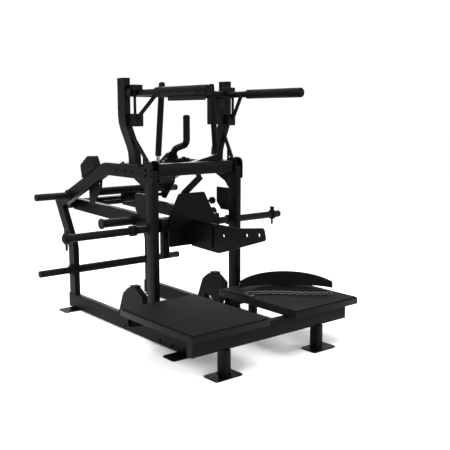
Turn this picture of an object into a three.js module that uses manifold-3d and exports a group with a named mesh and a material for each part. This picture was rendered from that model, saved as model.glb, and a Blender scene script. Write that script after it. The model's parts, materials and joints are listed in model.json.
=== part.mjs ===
// Belt squat machine: a rear-hinged lever with plate sleeves hangs from a lockout between two side frames.
// X runs across the machine, Y from the platforms' front edge to the rear and Z up, in millimetres.
// The origin is on the floor, under the middle of the whole machine.
import * as THREE from "three";
import { mergeVertices } from "three/addons/utils/BufferGeometryUtils.js";
import Module from "manifold-3d";

const wasm = await Module();
wasm.setup();

// Driving dimensions, shared by several pieces
const frameHalfSpan = 338.5;
const tubeWide = 45;
const tubeDeep = 85;
const tubeWall = 3;
const tubeEdge = 6;
const footThick = 8;
const sheetThick = 8;
const railHeight = 105;
const railFrontY = 440;
const railLength = 1525;
const postFrontY = 801;
const topRailZ = 1088.5;
const topBendY = 1397;
const cornerY = 2091;
const cornerZ = 788;
const kinkY = 1912.5;
const kinkZ = 481.5;
const pivotY = 2083;
const pivotZ = 775;
const uprightTopZ = 1678;
const deckTopZ = 303;
const deckGap = 202;
const deckWide = 560;
const deckDeep = 727;
const handleZ = 1585;
const sleeveHalfSpan = 890;

// Clearances and shared facets
const fit = 0.3;
const overrun = 5;
const arcStep = Math.PI / 6;
const fineStep = Math.PI / 12;
const mergeTolerance = 1e-4;

// Places that follow from the driving dimensions
const frameInner = frameHalfSpan - tubeWide / 2;
const frameOuter = frameHalfSpan + tubeWide / 2;
const railTop = footThick + railHeight;
const railRearY = railFrontY + railLength;
const topRailUnder = topRailZ - tubeDeep / 2;
const topRailTop = topRailZ + tubeDeep / 2;
const postRearY = postFrontY + tubeDeep;
const deckInner = deckGap / 2;
const deckOuter = deckInner + deckWide;

// Finishes
const finish = (name, color, roughness, metalness) =>
  new THREE.MeshStandardMaterial({ name, color, roughness, metalness });
const coat = finish("black_coat", 0x18191b, 0.5, 0.3);
const satin = finish("satin_coat", 0x222326, 0.4, 0.3);
const rubber = finish("black_rubber", 0x101011, 0.85, 0);
const tread = finish("tread_rubber", 0x1b1b1d, 0.9, 0);
const steel = finish("bright_steel", 0x9a9c9f, 0.3, 1);
const bronze = finish("bronze", 0x8a6a3a, 0.4, 1);
const webbing = finish("black_webbing", 0x141416, 0.9, 0);
const darkSteel = finish("dark_steel", 0x2b2c2e, 0.35, 1);

const machine = new THREE.Group();
const frame = new THREE.Group();
const lever = new THREE.Group();
const lockout = new THREE.Group();
machine.add(frame, lever, lockout);

// Solids from three.js geometry, and geometry from solids
function solid(geometry) {
  const bare = geometry.clone();
  bare.deleteAttribute("normal");
  bare.deleteAttribute("uv");
  const merged = mergeVertices(bare, mergeTolerance);
  const corners = merged.index.array;
  const kept = [];
  for (let i = 0; i < corners.length; i += 3) {
    const [a, b, c] = [corners[i], corners[i + 1], corners[i + 2]];
    if (a !== b && b !== c && c !== a) kept.push(a, b, c);
  }
  const vertProperties = new Float32Array(merged.attributes.position.array);
  const mesh = new wasm.Mesh({ numProp: 3, vertProperties, triVerts: new Uint32Array(kept) });
  mesh.merge();
  return new wasm.Manifold(mesh);
}

function geometryOf(body) {
  const mesh = body.getMesh();
  const geometry = new THREE.BufferGeometry();
  geometry.setAttribute("position", new THREE.BufferAttribute(mesh.vertProperties, 3));
  geometry.setIndex(new THREE.BufferAttribute(mesh.triVerts, 1));
  geometry.computeVertexNormals();
  return geometry;
}

const join = (...bodies) => bodies.reduce((whole, body) => whole.add(body));
const cut = (body, ...tools) => tools.reduce((left, tool) => left.subtract(tool), body);

function piece(group, name, body, material) {
  const mesh = new THREE.Mesh(geometryOf(body), material);
  mesh.name = name;
  group.add(mesh);
  return mesh;
}

// One piece on each side of the machine: side is -1 on the left and 1 on the right
function pair(group, name, build, material) {
  piece(group, `${name}_left`, build(-1), material);
  piece(group, `${name}_right`, build(1), material);
}

// Outlines: corners are [across, up] or [across, up, radius], and each radius becomes an arc
function rounded(corners, radius = 0, step = arcStep) {
  const points = [];
  corners.forEach(([across, up, own = radius], i) => {
    const here = new THREE.Vector2(across, up);
    if (own === 0) {
      points.push(here);
      return;
    }
    const before = new THREE.Vector2(...corners.at(i - 1).slice(0, 2)).sub(here).normalize();
    const after = new THREE.Vector2(...corners[(i + 1) % corners.length].slice(0, 2)).sub(here).normalize();
    const half = Math.acos(THREE.MathUtils.clamp(before.dot(after), -1, 1)) / 2;
    const centre = before.clone().add(after).normalize().multiplyScalar(own / Math.sin(half)).add(here);
    const start = before.clone().multiplyScalar(own / Math.tan(half)).add(here).sub(centre);
    const turn = (Math.PI - 2 * half) * (before.cross(after) > 0 ? -1 : 1);
    const steps = Math.max(1, Math.ceil(Math.abs(turn) / step));
    for (let k = 0; k <= steps; k += 1) {
      points.push(start.clone().rotateAround(new THREE.Vector2(), (turn * k) / steps).add(centre));
    }
  });
  return points;
}

const box = (left, low, right, high) => [[left, low], [right, low], [right, high], [left, high]];

function ring(across, up, radius, step = fineStep) {
  const count = Math.round((2 * Math.PI) / step);
  return Array.from({ length: count }, (_, i) => {
    const angle = (2 * Math.PI * i) / count;
    return new THREE.Vector2(across + radius * Math.cos(angle), up + radius * Math.sin(angle));
  });
}

function shapeOf(points, holes = []) {
  const shape = new THREE.Shape(points);
  shape.holes = holes.map((hole) => new THREE.Path(hole));
  return shape;
}

// Straight extrusions along one axis, with an optional bevel inside the outline
const axisX = new THREE.Vector3(1, 0, 0);
const axisY = new THREE.Vector3(0, 1, 0);
const axisZ = new THREE.Vector3(0, 0, 1);

function extrusion(shape, low, high, edge) {
  const geometry = new THREE.ExtrudeGeometry(shape, {
    depth: high - low - 2 * edge,
    bevelEnabled: edge > 0,
    bevelThickness: edge,
    bevelSize: edge,
    bevelOffset: -edge,
    bevelSegments: 1,
  });
  return geometry.translate(0, 0, low + edge);
}

// The outline's axes are Y and Z
function alongX(shape, from, to, edge = 0) {
  const geometry = extrusion(shape, Math.min(from, to), Math.max(from, to), edge);
  return solid(geometry.applyMatrix4(new THREE.Matrix4().makeBasis(axisY, axisZ, axisX)));
}

// The outline's axes are X and Z
function alongY(shape, from, to, edge = 0) {
  const geometry = extrusion(shape, -Math.max(from, to), -Math.min(from, to), edge);
  const back = axisY.clone().negate();
  return solid(geometry.applyMatrix4(new THREE.Matrix4().makeBasis(axisX, axisZ, back)));
}

// The outline's axes are X and Y
function alongZ(shape, from, to, edge = 0) {
  return solid(extrusion(shape, Math.min(from, to), Math.max(from, to), edge));
}

function block([x0, y0, z0], [x1, y1, z1], edge = 0) {
  const [left, right] = [Math.min(x0, x1), Math.max(x0, x1)];
  return alongZ(shapeOf(rounded(box(left, y0, right, y1))), z0, z1, edge);
}

// Round bars and turned pieces, from one point towards another
function aimed(geometry, from, to) {
  const [start, end] = [new THREE.Vector3(...from), new THREE.Vector3(...to)];
  const turn = new THREE.Quaternion().setFromUnitVectors(axisY, end.sub(start).normalize());
  return solid(geometry.applyQuaternion(turn).translate(start.x, start.y, start.z));
}

function bar(from, to, radius, sides = 16) {
  const length = new THREE.Vector3(...from).distanceTo(new THREE.Vector3(...to));
  const geometry = new THREE.CylinderGeometry(radius, radius, length, sides);
  return aimed(geometry.translate(0, length / 2, 0), from, to);
}

// The profile is [radius, distance along], anticlockwise, and closes on itself or on the axis
function turned(profile, from, to, sides = 16) {
  const points = profile.map(([radius, along]) => new THREE.Vector2(radius, along));
  return aimed(new THREE.LatheGeometry(points, sides), from, to);
}

function dome(radius, length, edge) {
  const quarter = [0, 1, 2].map((k) => (Math.PI / 4) * k);
  return quarter.map((a) => [radius - edge + edge * Math.cos(a), length - edge + edge * Math.sin(a)]);
}

const roundEnded = (radius, length, edge) => [[0, 0], [radius, 0], ...dome(radius, length, edge), [0, length]];

// A strip of even width along a path of points, as its two sides with a radius at each bend
function strip(path, width, bend) {
  const half = width / 2;
  const spots = path.map(([across, up]) => new THREE.Vector2(across, up));
  const left = [];
  const right = [];
  spots.forEach((here, i) => {
    const into = (i > 0 ? here.clone().sub(spots[i - 1]) : spots[1].clone().sub(here)).normalize();
    const out = (i < spots.length - 1 ? spots[i + 1].clone().sub(here) : into.clone()).normalize();
    const mid = into.clone().add(out).normalize();
    const reach = half / mid.dot(into);
    const normal = new THREE.Vector2(-mid.y, mid.x).multiplyScalar(reach);
    const turning = into.cross(out);
    const straight = i === 0 || i === spots.length - 1;
    const inner = straight ? 0 : bend - half;
    const outer = straight ? 0 : bend + half;
    left.push([here.x + normal.x, here.y + normal.y, turning > 0 ? inner : outer]);
    right.push([here.x - normal.x, here.y - normal.y, turning > 0 ? outer : inner]);
  });
  return { left, right };
}

const band = ({ left, right }) => [...left, ...right.slice().reverse()];

// The section of a straight rectangular tube
function tubeSection(left, low, right, high, wall = tubeWall, edge = tubeEdge) {
  const outside = rounded(box(left, low, right, high), edge, 2 * arcStep);
  return shapeOf(outside, [rounded(box(left + wall, low + wall, right - wall, high - wall))]);
}

const hand = (side, near, far) => (side > 0 ? [near, far] : [-far, -near]);

// Round tube or bar through a list of points, with an arc-like bend at each inner one
function bentBar(points, radius, bend, steps, sides = 12) {
  const spots = points.map((point) => new THREE.Vector3(...point));
  const path = new THREE.CurvePath();
  let from = spots[0];
  spots.slice(1, -1).forEach((corner, i) => {
    const next = spots[i + 2];
    const start = corner.clone().add(from.clone().sub(corner).setLength(bend));
    const end = corner.clone().add(next.clone().sub(corner).setLength(bend));
    path.add(new THREE.LineCurve3(from, start));
    path.add(new THREE.QuadraticBezierCurve3(start, corner, end));
    from = end;
  });
  path.add(new THREE.LineCurve3(from, spots.at(-1)));
  const section = new THREE.Shape(ring(0, 0, radius, (2 * Math.PI) / sides));
  return solid(new THREE.ExtrudeGeometry(section, { steps, extrudePath: path, bevelEnabled: false }));
}

// Base rails with a foot plate near each end
const weld = 0.5;
const footInset = 38.5;
const footReach = 131.5;
const footLength = 120;
const footCorner = 14;
const footFrontInset = 7;
const footRearInset = 30;
const anchorRadius = 8;
const anchorInset = 32;
const railHoleRadius = 10;
const railHoleZ = 35;
const railHoleShares = [0.113, 0.198, 0.471];
const endThick = 4;

function footPlate(side, inset, reach, front, back) {
  const outer = frameHalfSpan + reach;
  const [left, right] = hand(side, frameHalfSpan - inset, outer);
  const hole = ring(side * (outer - anchorInset), (front + back) / 2, anchorRadius, arcStep);
  return alongZ(shapeOf(rounded(box(left, front, right, back), footCorner), [hole]), 0, footThick);
}

function crossHoles(side, places, radius) {
  const [left, right] = hand(side, frameInner - overrun, frameOuter + overrun);
  return places.map(([y, z]) => bar([left, y, z], [right, y, z], radius, 12));
}

// Each rail carries the rear of its deck on a riser and a cross tube
const beam = { front: 66, deep: 50, low: 155, high: 104, endInset: 50 };
const beamHalf = deckOuter - beam.endInset;
const deckUnder = beam.low + beam.high;
const support = { innerInset: 9, outerInset: 22, front: 625, deep: 50, high: 60 };
function deckSupport(side) {
  const [left, right] = hand(side, deckInner + support.innerInset, deckOuter - support.outerInset);
  const [riserLeft, riserRight] = hand(side, frameInner, frameOuter);
  const low = deckUnder - support.high;
  const back = support.front + support.deep;
  const cross = alongX(tubeSection(support.front, low, back, deckUnder), left, right);
  const riser = alongZ(tubeSection(riserLeft, support.front, riserRight, back), railTop - weld, low + weld);
  return join(cross, riser);
}

function baseRail(side) {
  const [left, right] = hand(side, frameInner, frameOuter);
  const rail = alongY(tubeSection(left, footThick, right, railTop), railFrontY, railRearY);
  const places = railHoleShares.map((share) => [railFrontY + share * railLength, railHoleZ]);
  const fronts = [railFrontY + footFrontInset, railRearY - footRearInset - footLength];
  const feet = fronts.map((front) => footPlate(side, footInset, footReach, front, front + footLength));
  const ends = [railFrontY - endThick, railRearY - weld].map((y) =>
    block([left, y, footThick], [right, y + endThick + weld, railTop]));
  return join(cut(rail, ...crossHoles(side, places, railHoleRadius)), ...feet, ...ends, deckSupport(side));
}
pair(frame, "base_rail", baseRail, coat);

// Front posts stand on the rails, and each carries a catch plate with a corner gusset behind it
const postPlate = {
  thick: 12, lowZ: 795, deep: 149, chamfer: 50, high: 155, neck: 14, gussetDeep: 167, gussetHigh: 50, radius: 6,
  kneeDeep: 56,
};
function postPlateBody(side) {
  const { lowZ, deep, chamfer, high, neck, gussetDeep, gussetHigh, radius, kneeDeep, thick } = postPlate;
  const outline = rounded([
    [postRearY - weld, lowZ, 0],
    [postRearY + deep - chamfer, lowZ],
    [postRearY + deep, lowZ + chamfer],
    [postRearY + deep, lowZ + high],
    [postRearY + neck, lowZ + high],
    [postRearY + neck, topRailUnder - 2 * gussetHigh],
    [postRearY + kneeDeep, topRailUnder - gussetHigh],
    [postRearY + gussetDeep, topRailUnder, 0],
    [postRearY - weld, topRailUnder, 0],
  ], radius);
  return alongX(shapeOf(outline), side * (frameHalfSpan - thick / 2), side * (frameHalfSpan + thick / 2));
}
pair(frame, "front_post", (side) => {
  const [left, right] = hand(side, frameInner, frameOuter);
  const post = alongZ(tubeSection(left, postFrontY, right, postRearY), railTop, topRailUnder);
  return join(post, postPlateBody(side));
}, coat);

// The top rail bends down to the rear corner, where it is mitred to the slanted rear post
const tubeBend = 120;
const frontCorner = 38;
const topHoleRadius = 9.5;
const topHoleShares = [0.183, 0.401, 0.542, 0.73];
const spine = [
  [postFrontY, topRailZ],
  [topBendY, topRailZ],
  [cornerY, cornerZ],
  [kinkY, kinkZ],
  [kinkY, railTop],
];
const cornerIndex = 2;
const outer = strip(spine, tubeDeep, tubeBend);
const hollowSpine = [[postFrontY + tubeWall, topRailZ], ...spine.slice(1, -1), [kinkY, railTop - overrun]];
const inner = strip(hollowSpine, tubeDeep - 2 * tubeWall, tubeBend);
[outer, inner].forEach(({ left, right }) => {
  left[cornerIndex][2] = 0;
  right[cornerIndex][2] = 0;
});
outer.left[0][2] = frontCorner;
const postLean = new THREE.Vector2(kinkY - cornerY, kinkZ - cornerZ).setLength(fit);
const shifted = ([y, z, radius]) => [y + postLean.x, z + postLean.y, radius];

function hollowed(side, corners) {
  const [left, right] = hand(side, frameInner, frameOuter);
  const body = alongX(shapeOf(rounded(corners, 0, fineStep)), left, right, tubeEdge / 2);
  const inside = alongX(shapeOf(rounded(band(inner), 0, fineStep)), left + tubeWall, right - tubeWall);
  return cut(body, inside);
}

// Plate storage pegs on the outer faces of the rear frame
const peg = { radius: 25, length: 262, edge: 7, flangeRadius: 42, flangeThick: 12 };
const pegProfile = [
  [0, -weld], [peg.flangeRadius, -weld], [peg.flangeRadius, peg.flangeThick], [peg.radius, peg.flangeThick],
  ...dome(peg.radius, peg.length, peg.edge), [0, peg.length],
];
const upperPegY = 1928;
const lowerPegZ = 297;
const diagonalSlope = (topRailZ - cornerZ) / (cornerY - topBendY);
const diagonalZ = (y) => topRailZ - (y - topBendY) * diagonalSlope;
const pegOn = (side, y, z) => turned(pegProfile, [side * frameOuter, y, z], [side * sleeveHalfSpan, y, z]);

// Plates on both faces of each front corner
const cornerPlate = { ahead: 6, deep: 105, below: 22, above: 35, radius: 40 };
function cornerPlates(side) {
  const { ahead, deep, below, above, radius } = cornerPlate;
  const front = postFrontY - ahead;
  const outline = shapeOf(rounded([
    [front, topRailUnder - below, radius / 4],
    [front + deep, topRailUnder - below, radius / 4],
    [front + deep, topRailTop + above, radius],
    [front, topRailTop + above, radius],
  ]));
  const starts = [frameInner - sheetThick, frameOuter];
  return starts.map((start) => alongX(outline, side * start, side * (start + sheetThick)));
}

pair(frame, "top_rail", (side) => {
  const corners = band({ left: outer.left.slice(0, 3), right: outer.right.slice(0, 3) });
  const places = topHoleShares.map((share) => [postFrontY + share * (topBendY - postFrontY), topRailZ]);
  const rail = cut(hollowed(side, corners), ...crossHoles(side, places, topHoleRadius));
  return join(rail, ...cornerPlates(side), pegOn(side, upperPegY, diagonalZ(upperPegY)));
}, coat);

pair(frame, "rear_post", (side) => {
  const [left, right] = [outer.left.slice(cornerIndex), outer.right.slice(cornerIndex)];
  left[0] = shifted(left[0]);
  right[0] = shifted(right[0]);
  return join(hollowed(side, band({ left, right })), pegOn(side, kinkY, lowerPegZ));
}, coat);

// Front crossbar with a shelf behind it
const crossbarHalf = frameInner - sheetThick;
const crossbar = { frontInset: 14, deep: 60, rise: 15, high: 80, shelfInset: 46, shelfDeep: 80, shelfDrop: 28 };
const shelfHalf = crossbarHalf - crossbar.shelfInset;
const crossbarTop = topRailTop + crossbar.rise;
const crossbarFront = postFrontY + crossbar.frontInset;
const crossbarBack = crossbarFront + crossbar.deep;
const shelfTop = crossbarTop - crossbar.shelfDrop;
const crossbarTube = alongX(
  tubeSection(crossbarFront, crossbarTop - crossbar.high, crossbarBack, crossbarTop), -crossbarHalf, crossbarHalf);
const shelf = block(
  [-shelfHalf, crossbarBack - weld, shelfTop - sheetThick],
  [shelfHalf, crossbarBack + crossbar.shelfDeep, shelfTop]);

// A folded sloping sheet with a web below it is welded to the right of the shelf
const slope = { left: -95, rightInset: 41, rise: 70, sheet: 6, gap: 3, deep: 34, bend: 8 };
const slopeRight = shelfHalf - slope.rightInset;
const slopePath = [
  [slope.left, shelfTop], [slopeRight, shelfTop + slope.rise], [slopeRight + slope.sheet, shelfTop - overrun],
];
const slopeFront = crossbarBack + slope.gap;
const slopeBody = alongY(
  shapeOf(rounded(band(strip(slopePath, slope.sheet, slope.bend)), 0)), slopeFront, slopeFront + slope.deep);
const slopeWeb = alongY(
  shapeOf(rounded([
    [slope.left, shelfTop - weld], [slopeRight, shelfTop - weld], [slopeRight, shelfTop + slope.rise],
    [slope.left, shelfTop],
  ])),
  slopeFront, slopeFront + slope.sheet);
const underSlope = block(
  [slope.left - slope.rise, crossbarBack, shelfTop - sheetThick],
  [slopeRight + slope.rise, crossbarBack + crossbar.shelfDeep, shelfTop - weld]);
piece(frame, "front_crossbar", join(crossbarTube, shelf, cut(slopeBody, underSlope), slopeWeb), coat);

// Lockout crossbar between the top rails, with two ears that hold the lockout's pin
const lockBar = { y: 1105, deep: 50, high: 50 };
const lockPivot = { y: lockBar.y, rise: 40, pinRadius: 8, hubRadius: 22, hubLeft: -52, hubRight: 130 };
const lockPivotZ = topRailUnder + lockBar.high + lockPivot.rise;
const ear = { radius: 22, corner: 21, thick: 8, gap: 1 };
const lockBarTop = topRailUnder + lockBar.high;
const lockBarFront = lockBar.y - lockBar.deep / 2;
const lockBarTube = alongX(
  tubeSection(lockBarFront, topRailUnder, lockBarFront + lockBar.deep, lockBarTop), -frameInner, frameInner);
const earOutline = shapeOf(
  rounded([
    [lockBarFront, lockBarTop - weld, 0],
    [lockBarFront + lockBar.deep, lockBarTop - weld, 0],
    [lockBar.y + ear.radius, lockPivotZ + ear.radius, ear.corner],
    [lockBar.y - ear.radius, lockPivotZ + ear.radius, ear.corner],
  ]),
  [ring(lockBar.y, lockPivotZ, lockPivot.pinRadius + fit, arcStep)]);
const leftEar = alongX(earOutline, lockPivot.hubLeft - ear.gap - ear.thick, lockPivot.hubLeft - ear.gap);
const rightEar = alongX(earOutline, lockPivot.hubRight + ear.gap, lockPivot.hubRight + ear.gap + ear.thick);
piece(frame, "lockout_crossbar", join(lockBarTube, leftEar, rightEar), coat);

const pinReach = 2 * ear.thick;
const pinHead = { radius: 13, thick: 7 };
const pinLeft = lockPivot.hubLeft - ear.gap - pinReach;
const pinRight = lockPivot.hubRight + ear.gap + pinReach;
const pinLine = (x) => [x, lockBar.y, lockPivotZ];
piece(frame, "lockout_pin", join(
  bar(pinLine(pinLeft), pinLine(pinRight), lockPivot.pinRadius, 12),
  bar(pinLine(pinLeft - pinHead.thick + weld), pinLine(pinLeft + weld), pinHead.radius, 6),
  bar(pinLine(pinRight - weld), pinLine(pinRight + pinHead.thick - weld), pinHead.radius, 6)), steel);

// Crossbars between the rear posts: the upper one hangs between lugs below the diagonals
const rearBar = { y: 1628, z: 906, radius: 29 };
const rearStay = { back: 27, drop: 60, radius: 13.5, rollerRadius: 35, rollerHalf: 60 };
const lug = {
  radius: 14, holeAhead: 80, holeRise: 66, holeRadius: 9,
  corners: [[-122, 112], [-112, 42], [8, -94], [60, -88], [70, 54], [-70, 124]],
};
const lugOutline = shapeOf(
  rounded(lug.corners.map(([along, rise]) => [rearBar.y + along, rearBar.z + rise]), lug.radius),
  [ring(rearBar.y - lug.holeAhead, rearBar.z + lug.holeRise, lug.holeRadius, arcStep)]);
const lugs = [-1, 1].map((side) => alongX(lugOutline, side * crossbarHalf, side * frameInner));
const barLine = (x) => [x, rearBar.y, rearBar.z];
const stayLine = (x) => [x, rearBar.y + rearStay.back, rearBar.z - rearStay.drop];
piece(frame, "upper_rear_crossbar", join(
  bar(barLine(-crossbarHalf - weld), barLine(crossbarHalf + weld), rearBar.radius),
  bar(stayLine(-crossbarHalf - weld), stayLine(crossbarHalf + weld), rearStay.radius, 12),
  bar(stayLine(-rearStay.rollerHalf), stayLine(rearStay.rollerHalf), rearStay.rollerRadius),
  ...lugs), coat);

const lowerBarRadius = 30;
piece(frame, "lower_rear_crossbar", bar(
  [-frameInner, kinkY, lowerPegZ], [frameInner, kinkY, lowerPegZ], lowerBarRadius), coat);

// Uprights lean outwards in an S above their base flanges
const upright = {
  frontY: 994.5, spread: 72.5, bendZ: 1215, straightZ: 1405, bend: 230, flangeThick: 10, flangeHalf: 45,
  flangeAhead: 59.5, flangeBehind: 70.5, holeRadius: 8, holeInset: 22, holeShares: [0.948, 0.65],
};
const uprightBack = upright.frontY + tubeDeep;
const flangeTop = topRailTop + upright.flangeThick;
const uprightTubeTop = uprightTopZ - endThick;
const uprightTopX = frameHalfSpan + upright.spread;

function uprightOutline(side, width, low, high) {
  const path = [
    [frameHalfSpan, low], [frameHalfSpan, upright.bendZ], [uprightTopX, upright.straightZ], [uprightTopX, high],
  ].map(([x, z]) => [side * x, z]);
  return shapeOf(rounded(band(strip(path, width, upright.bend)), 0, fineStep));
}

function uprightBody(side) {
  const { frontY, flangeHalf, flangeAhead, flangeBehind, flangeThick, holeRadius, holeInset } = upright;
  const shell = uprightOutline(side, tubeWide, flangeTop - weld, uprightTubeTop);
  const tube = alongY(shell, frontY, uprightBack, tubeEdge / 2);
  const inside = alongY(
    uprightOutline(side, tubeWide - 2 * tubeWall, flangeTop, uprightTubeTop + overrun),
    frontY + tubeWall, uprightBack - tubeWall);
  const holes = upright.holeShares.map((share) => {
    const z = flangeTop + share * (uprightTubeTop - flangeTop);
    const y = uprightBack - holeInset;
    return bar([side * frameInner, y, z], [side * (uprightTopX + tubeWide), y, z], holeRadius, 12);
  });
  const flange = block(
    [side * (frameHalfSpan - flangeHalf), frontY - flangeAhead, topRailTop],
    [side * (frameHalfSpan + flangeHalf), uprightBack + flangeBehind, topRailTop + flangeThick], tubeEdge / 2);
  const lid = block(
    [side * (uprightTopX - tubeWide / 2), frontY, uprightTubeTop - weld],
    [side * (uprightTopX + tubeWide / 2), uprightBack, uprightTopZ]);
  return join(cut(tube, inside, ...holes), flange, lid);
}

// Slanted braces ahead of the uprights, each with a gusset at its foot
const brace = {
  radius: 12.5, topOut: 33.5, topZ: 1309, footOut: 1.5, footY: 859, gussetThick: 8, gussetOut: 6.5,
  gussetFront: 862, gussetBack: 930, gussetHigh: 91, holeY: 908, holeRise: 32, holeRadius: 10,
};
pair(frame, "upright", (side) => {
  const foot = new THREE.Vector3(side * (frameHalfSpan + brace.footOut), brace.footY, topRailTop);
  const top = new THREE.Vector3(side * (frameHalfSpan + brace.topOut), upright.frontY, brace.topZ);
  const along = top.clone().sub(foot).setLength(4 * brace.radius);
  const rod = bar(foot.clone().sub(along).toArray(), top.clone().add(along).toArray(), brace.radius, 14);
  const gussetMid = frameHalfSpan + brace.gussetOut;
  const gusset = alongX(
    shapeOf(
      [
        [brace.gussetFront, topRailTop], [brace.gussetBack, topRailTop],
        [brace.gussetBack, topRailTop + brace.gussetHigh],
      ].map(([y, z]) => new THREE.Vector2(y, z)),
      [ring(brace.holeY, topRailTop + brace.holeRise, brace.holeRadius, arcStep)]),
    side * (gussetMid - brace.gussetThick / 2), side * (gussetMid + brace.gussetThick / 2));
  const reach = 8 * brace.radius;
  const under = block(
    [foot.x - reach, foot.y - reach, topRailTop - reach], [foot.x + reach, foot.y + reach, topRailTop]);
  const behind = block(
    [top.x - reach, top.y + weld, top.z - reach], [top.x + reach, top.y + reach, top.z + reach]);
  return join(uprightBody(side), cut(join(rod, gusset), under, behind));
}, coat);

// Handle crossbar ahead of the uprights
const handleRadius = 25;
const handleY = upright.frontY - handleRadius - fit;
const handleHalf = uprightTopX + tubeWide / 3;
const handleBar = bar([-handleHalf, handleY, handleZ], [handleHalf, handleY, handleZ], handleRadius);
const handleRoom = bar(
  [-handleHalf - overrun, handleY, handleZ], [handleHalf + overrun, handleY, handleZ], handleRadius + fit);
piece(frame, "handle_crossbar", handleBar, coat);

// Forward arms: a core with a brace below it and a long rubber grip over it
const arm = {
  inset: 49, radius: 21, gripRadius: 30, tipY: 240, gripBackY: 740, capThick: 8, edge: 10,
  braceRadius: 12.5, braceTopY: 780, braceTopIn: 23, braceLowZ: 1430, braceLowOut: 26,
};
const armX = uprightTopX - arm.inset;
const bracket = {
  inside: 17, outside: 45, baseFront: 919, baseLow: 1378, baseHigh: 79, topFront: 922, topRise: 50,
  barOut: 34, barY: 934, barRadius: 9, edge: 4,
};
const bracketInner = armX - bracket.inside;
const bracketOuter = armX + bracket.outside;
const armLine = (side, y) => [side * armX, y, handleZ];
const armRoom = (side) => bar(armLine(side, arm.tipY), armLine(side, handleY), arm.radius + fit);

pair(frame, "handle_arm", (side) => {
  const core = bar(armLine(side, arm.tipY + arm.capThick + fit), armLine(side, handleY), arm.radius);
  const low = new THREE.Vector3(side * (armX + arm.braceLowOut), bracket.baseFront, arm.braceLowZ);
  const top = new THREE.Vector3(side * (armX - arm.braceTopIn), arm.braceTopY, handleZ - arm.radius / 2);
  const along = top.clone().sub(low).setLength(3 * arm.braceRadius);
  const support = bar(low.clone().sub(along).toArray(), top.toArray(), arm.braceRadius, 14);
  const behind = block(
    [low.x - tubeWide, low.y - fit, low.z - tubeDeep], [low.x + tubeWide, low.y + tubeDeep, low.z + tubeDeep]);
  return join(cut(core, handleRoom), cut(support, behind));
}, coat);

pair(frame, "handle_grip", (side) => {
  const length = arm.gripBackY - arm.tipY;
  const outside = dome(arm.gripRadius, length, arm.edge);
  const profile = [
    [arm.radius + fit, 0], [arm.gripRadius, 0], ...outside, [0, length], [0, length - arm.capThick],
    [arm.radius + fit, length - arm.capThick], [arm.radius + fit, 0],
  ];
  return turned(profile, armLine(side, arm.gripBackY), armLine(side, arm.tipY));
}, rubber);

// A flat rail under the left grip
const gripRail = { front: 270, back: 620, half: 7, high: 24, edge: 3 };
const gripRailBody = block(
  [-armX - gripRail.half, gripRail.front, handleZ - arm.gripRadius - gripRail.high],
  [-armX + gripRail.half, gripRail.back, handleZ - arm.gripRadius / 2], gripRail.edge);
const gripRoom = bar(armLine(-1, arm.tipY), armLine(-1, arm.gripBackY), arm.gripRadius + fit);
piece(frame, "grip_rail", cut(gripRailBody, gripRoom), satin);

// Brackets on the uprights: two blocks joined by a round bar
pair(frame, "handle_bracket", (side) => {
  const base = block(
    [side * bracketInner, bracket.baseFront, bracket.baseLow],
    [side * bracketOuter, upright.frontY, bracket.baseLow + bracket.baseHigh], bracket.edge);
  const topLow = handleZ + handleRadius / 2;
  const top = block(
    [side * bracketInner, bracket.topFront, topLow],
    [side * bracketOuter, upright.frontY, handleZ + bracket.topRise], bracket.edge);
  const post = bar(
    [side * (armX + bracket.barOut), bracket.barY, bracket.baseLow + bracket.baseHigh - weld],
    [side * (armX + bracket.barOut), bracket.barY, topLow + overrun], bracket.barRadius, 14);
  return cut(join(base, top, post), handleRoom, armRoom(side));
}, coat);

// A folded sheet hangs below the handle crossbar on the right
const tie = { wide: 127, low: 1385, sheet: 6, y: 964, fold: 26, bend: 9 };
const tieLeft = bracketInner - tie.wide;
const tiePath = [[tieLeft, tie.y + tie.fold], [tieLeft, tie.y], [bracketInner, tie.y]];
const tieBody = alongZ(
  shapeOf(rounded(band(strip(tiePath, tie.sheet, tie.bend)), 0)), tie.low, handleZ);
piece(frame, "tie_sheet", cut(tieBody, handleRoom), satin);

// Vertical grip rods stand on the shelf behind the front crossbar
const rod = {
  y: 923, footInset: 21, topInset: 64, topRise: 70, sleeveZ: 1190, coreRadius: 11, sleeveRadius: 20, edge: 14,
};
const rodTopZ = handleZ + rod.topRise;
const rodFoot = (side) => new THREE.Vector3(side * (shelfHalf - rod.footInset), rod.y, shelfTop);
const rodTop = (side) => new THREE.Vector3(side * (shelfHalf - rod.topInset), rod.y, rodTopZ);
pair(frame, "grip_rod", (side) => {
  const foot = rodFoot(side);
  const tip = rodTop(side);
  const top = tip.clone().add(foot.clone().sub(tip).setLength(rod.sleeveRadius));
  const start = foot.clone().sub(top.clone().sub(foot).setLength(2 * rod.coreRadius));
  const reach = 4 * rod.coreRadius;
  const under = block(
    [foot.x - reach, foot.y - reach, foot.z - reach], [foot.x + reach, foot.y + reach, foot.z + fit]);
  return cut(bar(start.toArray(), top.toArray(), rod.coreRadius, 14), under);
}, steel);

pair(frame, "rod_grip", (side) => {
  const foot = rodFoot(side);
  const top = rodTop(side);
  const start = foot.clone().lerp(top, (rod.sleeveZ - shelfTop) / (rodTopZ - shelfTop));
  const length = start.distanceTo(top);
  const bore = length - rod.sleeveRadius + fit;
  const profile = [
    [rod.coreRadius + fit, 0], [rod.sleeveRadius, 0], ...dome(rod.sleeveRadius, length, rod.edge), [0, length],
    [0, bore], [rod.coreRadius + fit, bore], [rod.coreRadius + fit, 0],
  ];
  return turned(profile, start.toArray(), top.toArray(), 16);
}, rubber);

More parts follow.
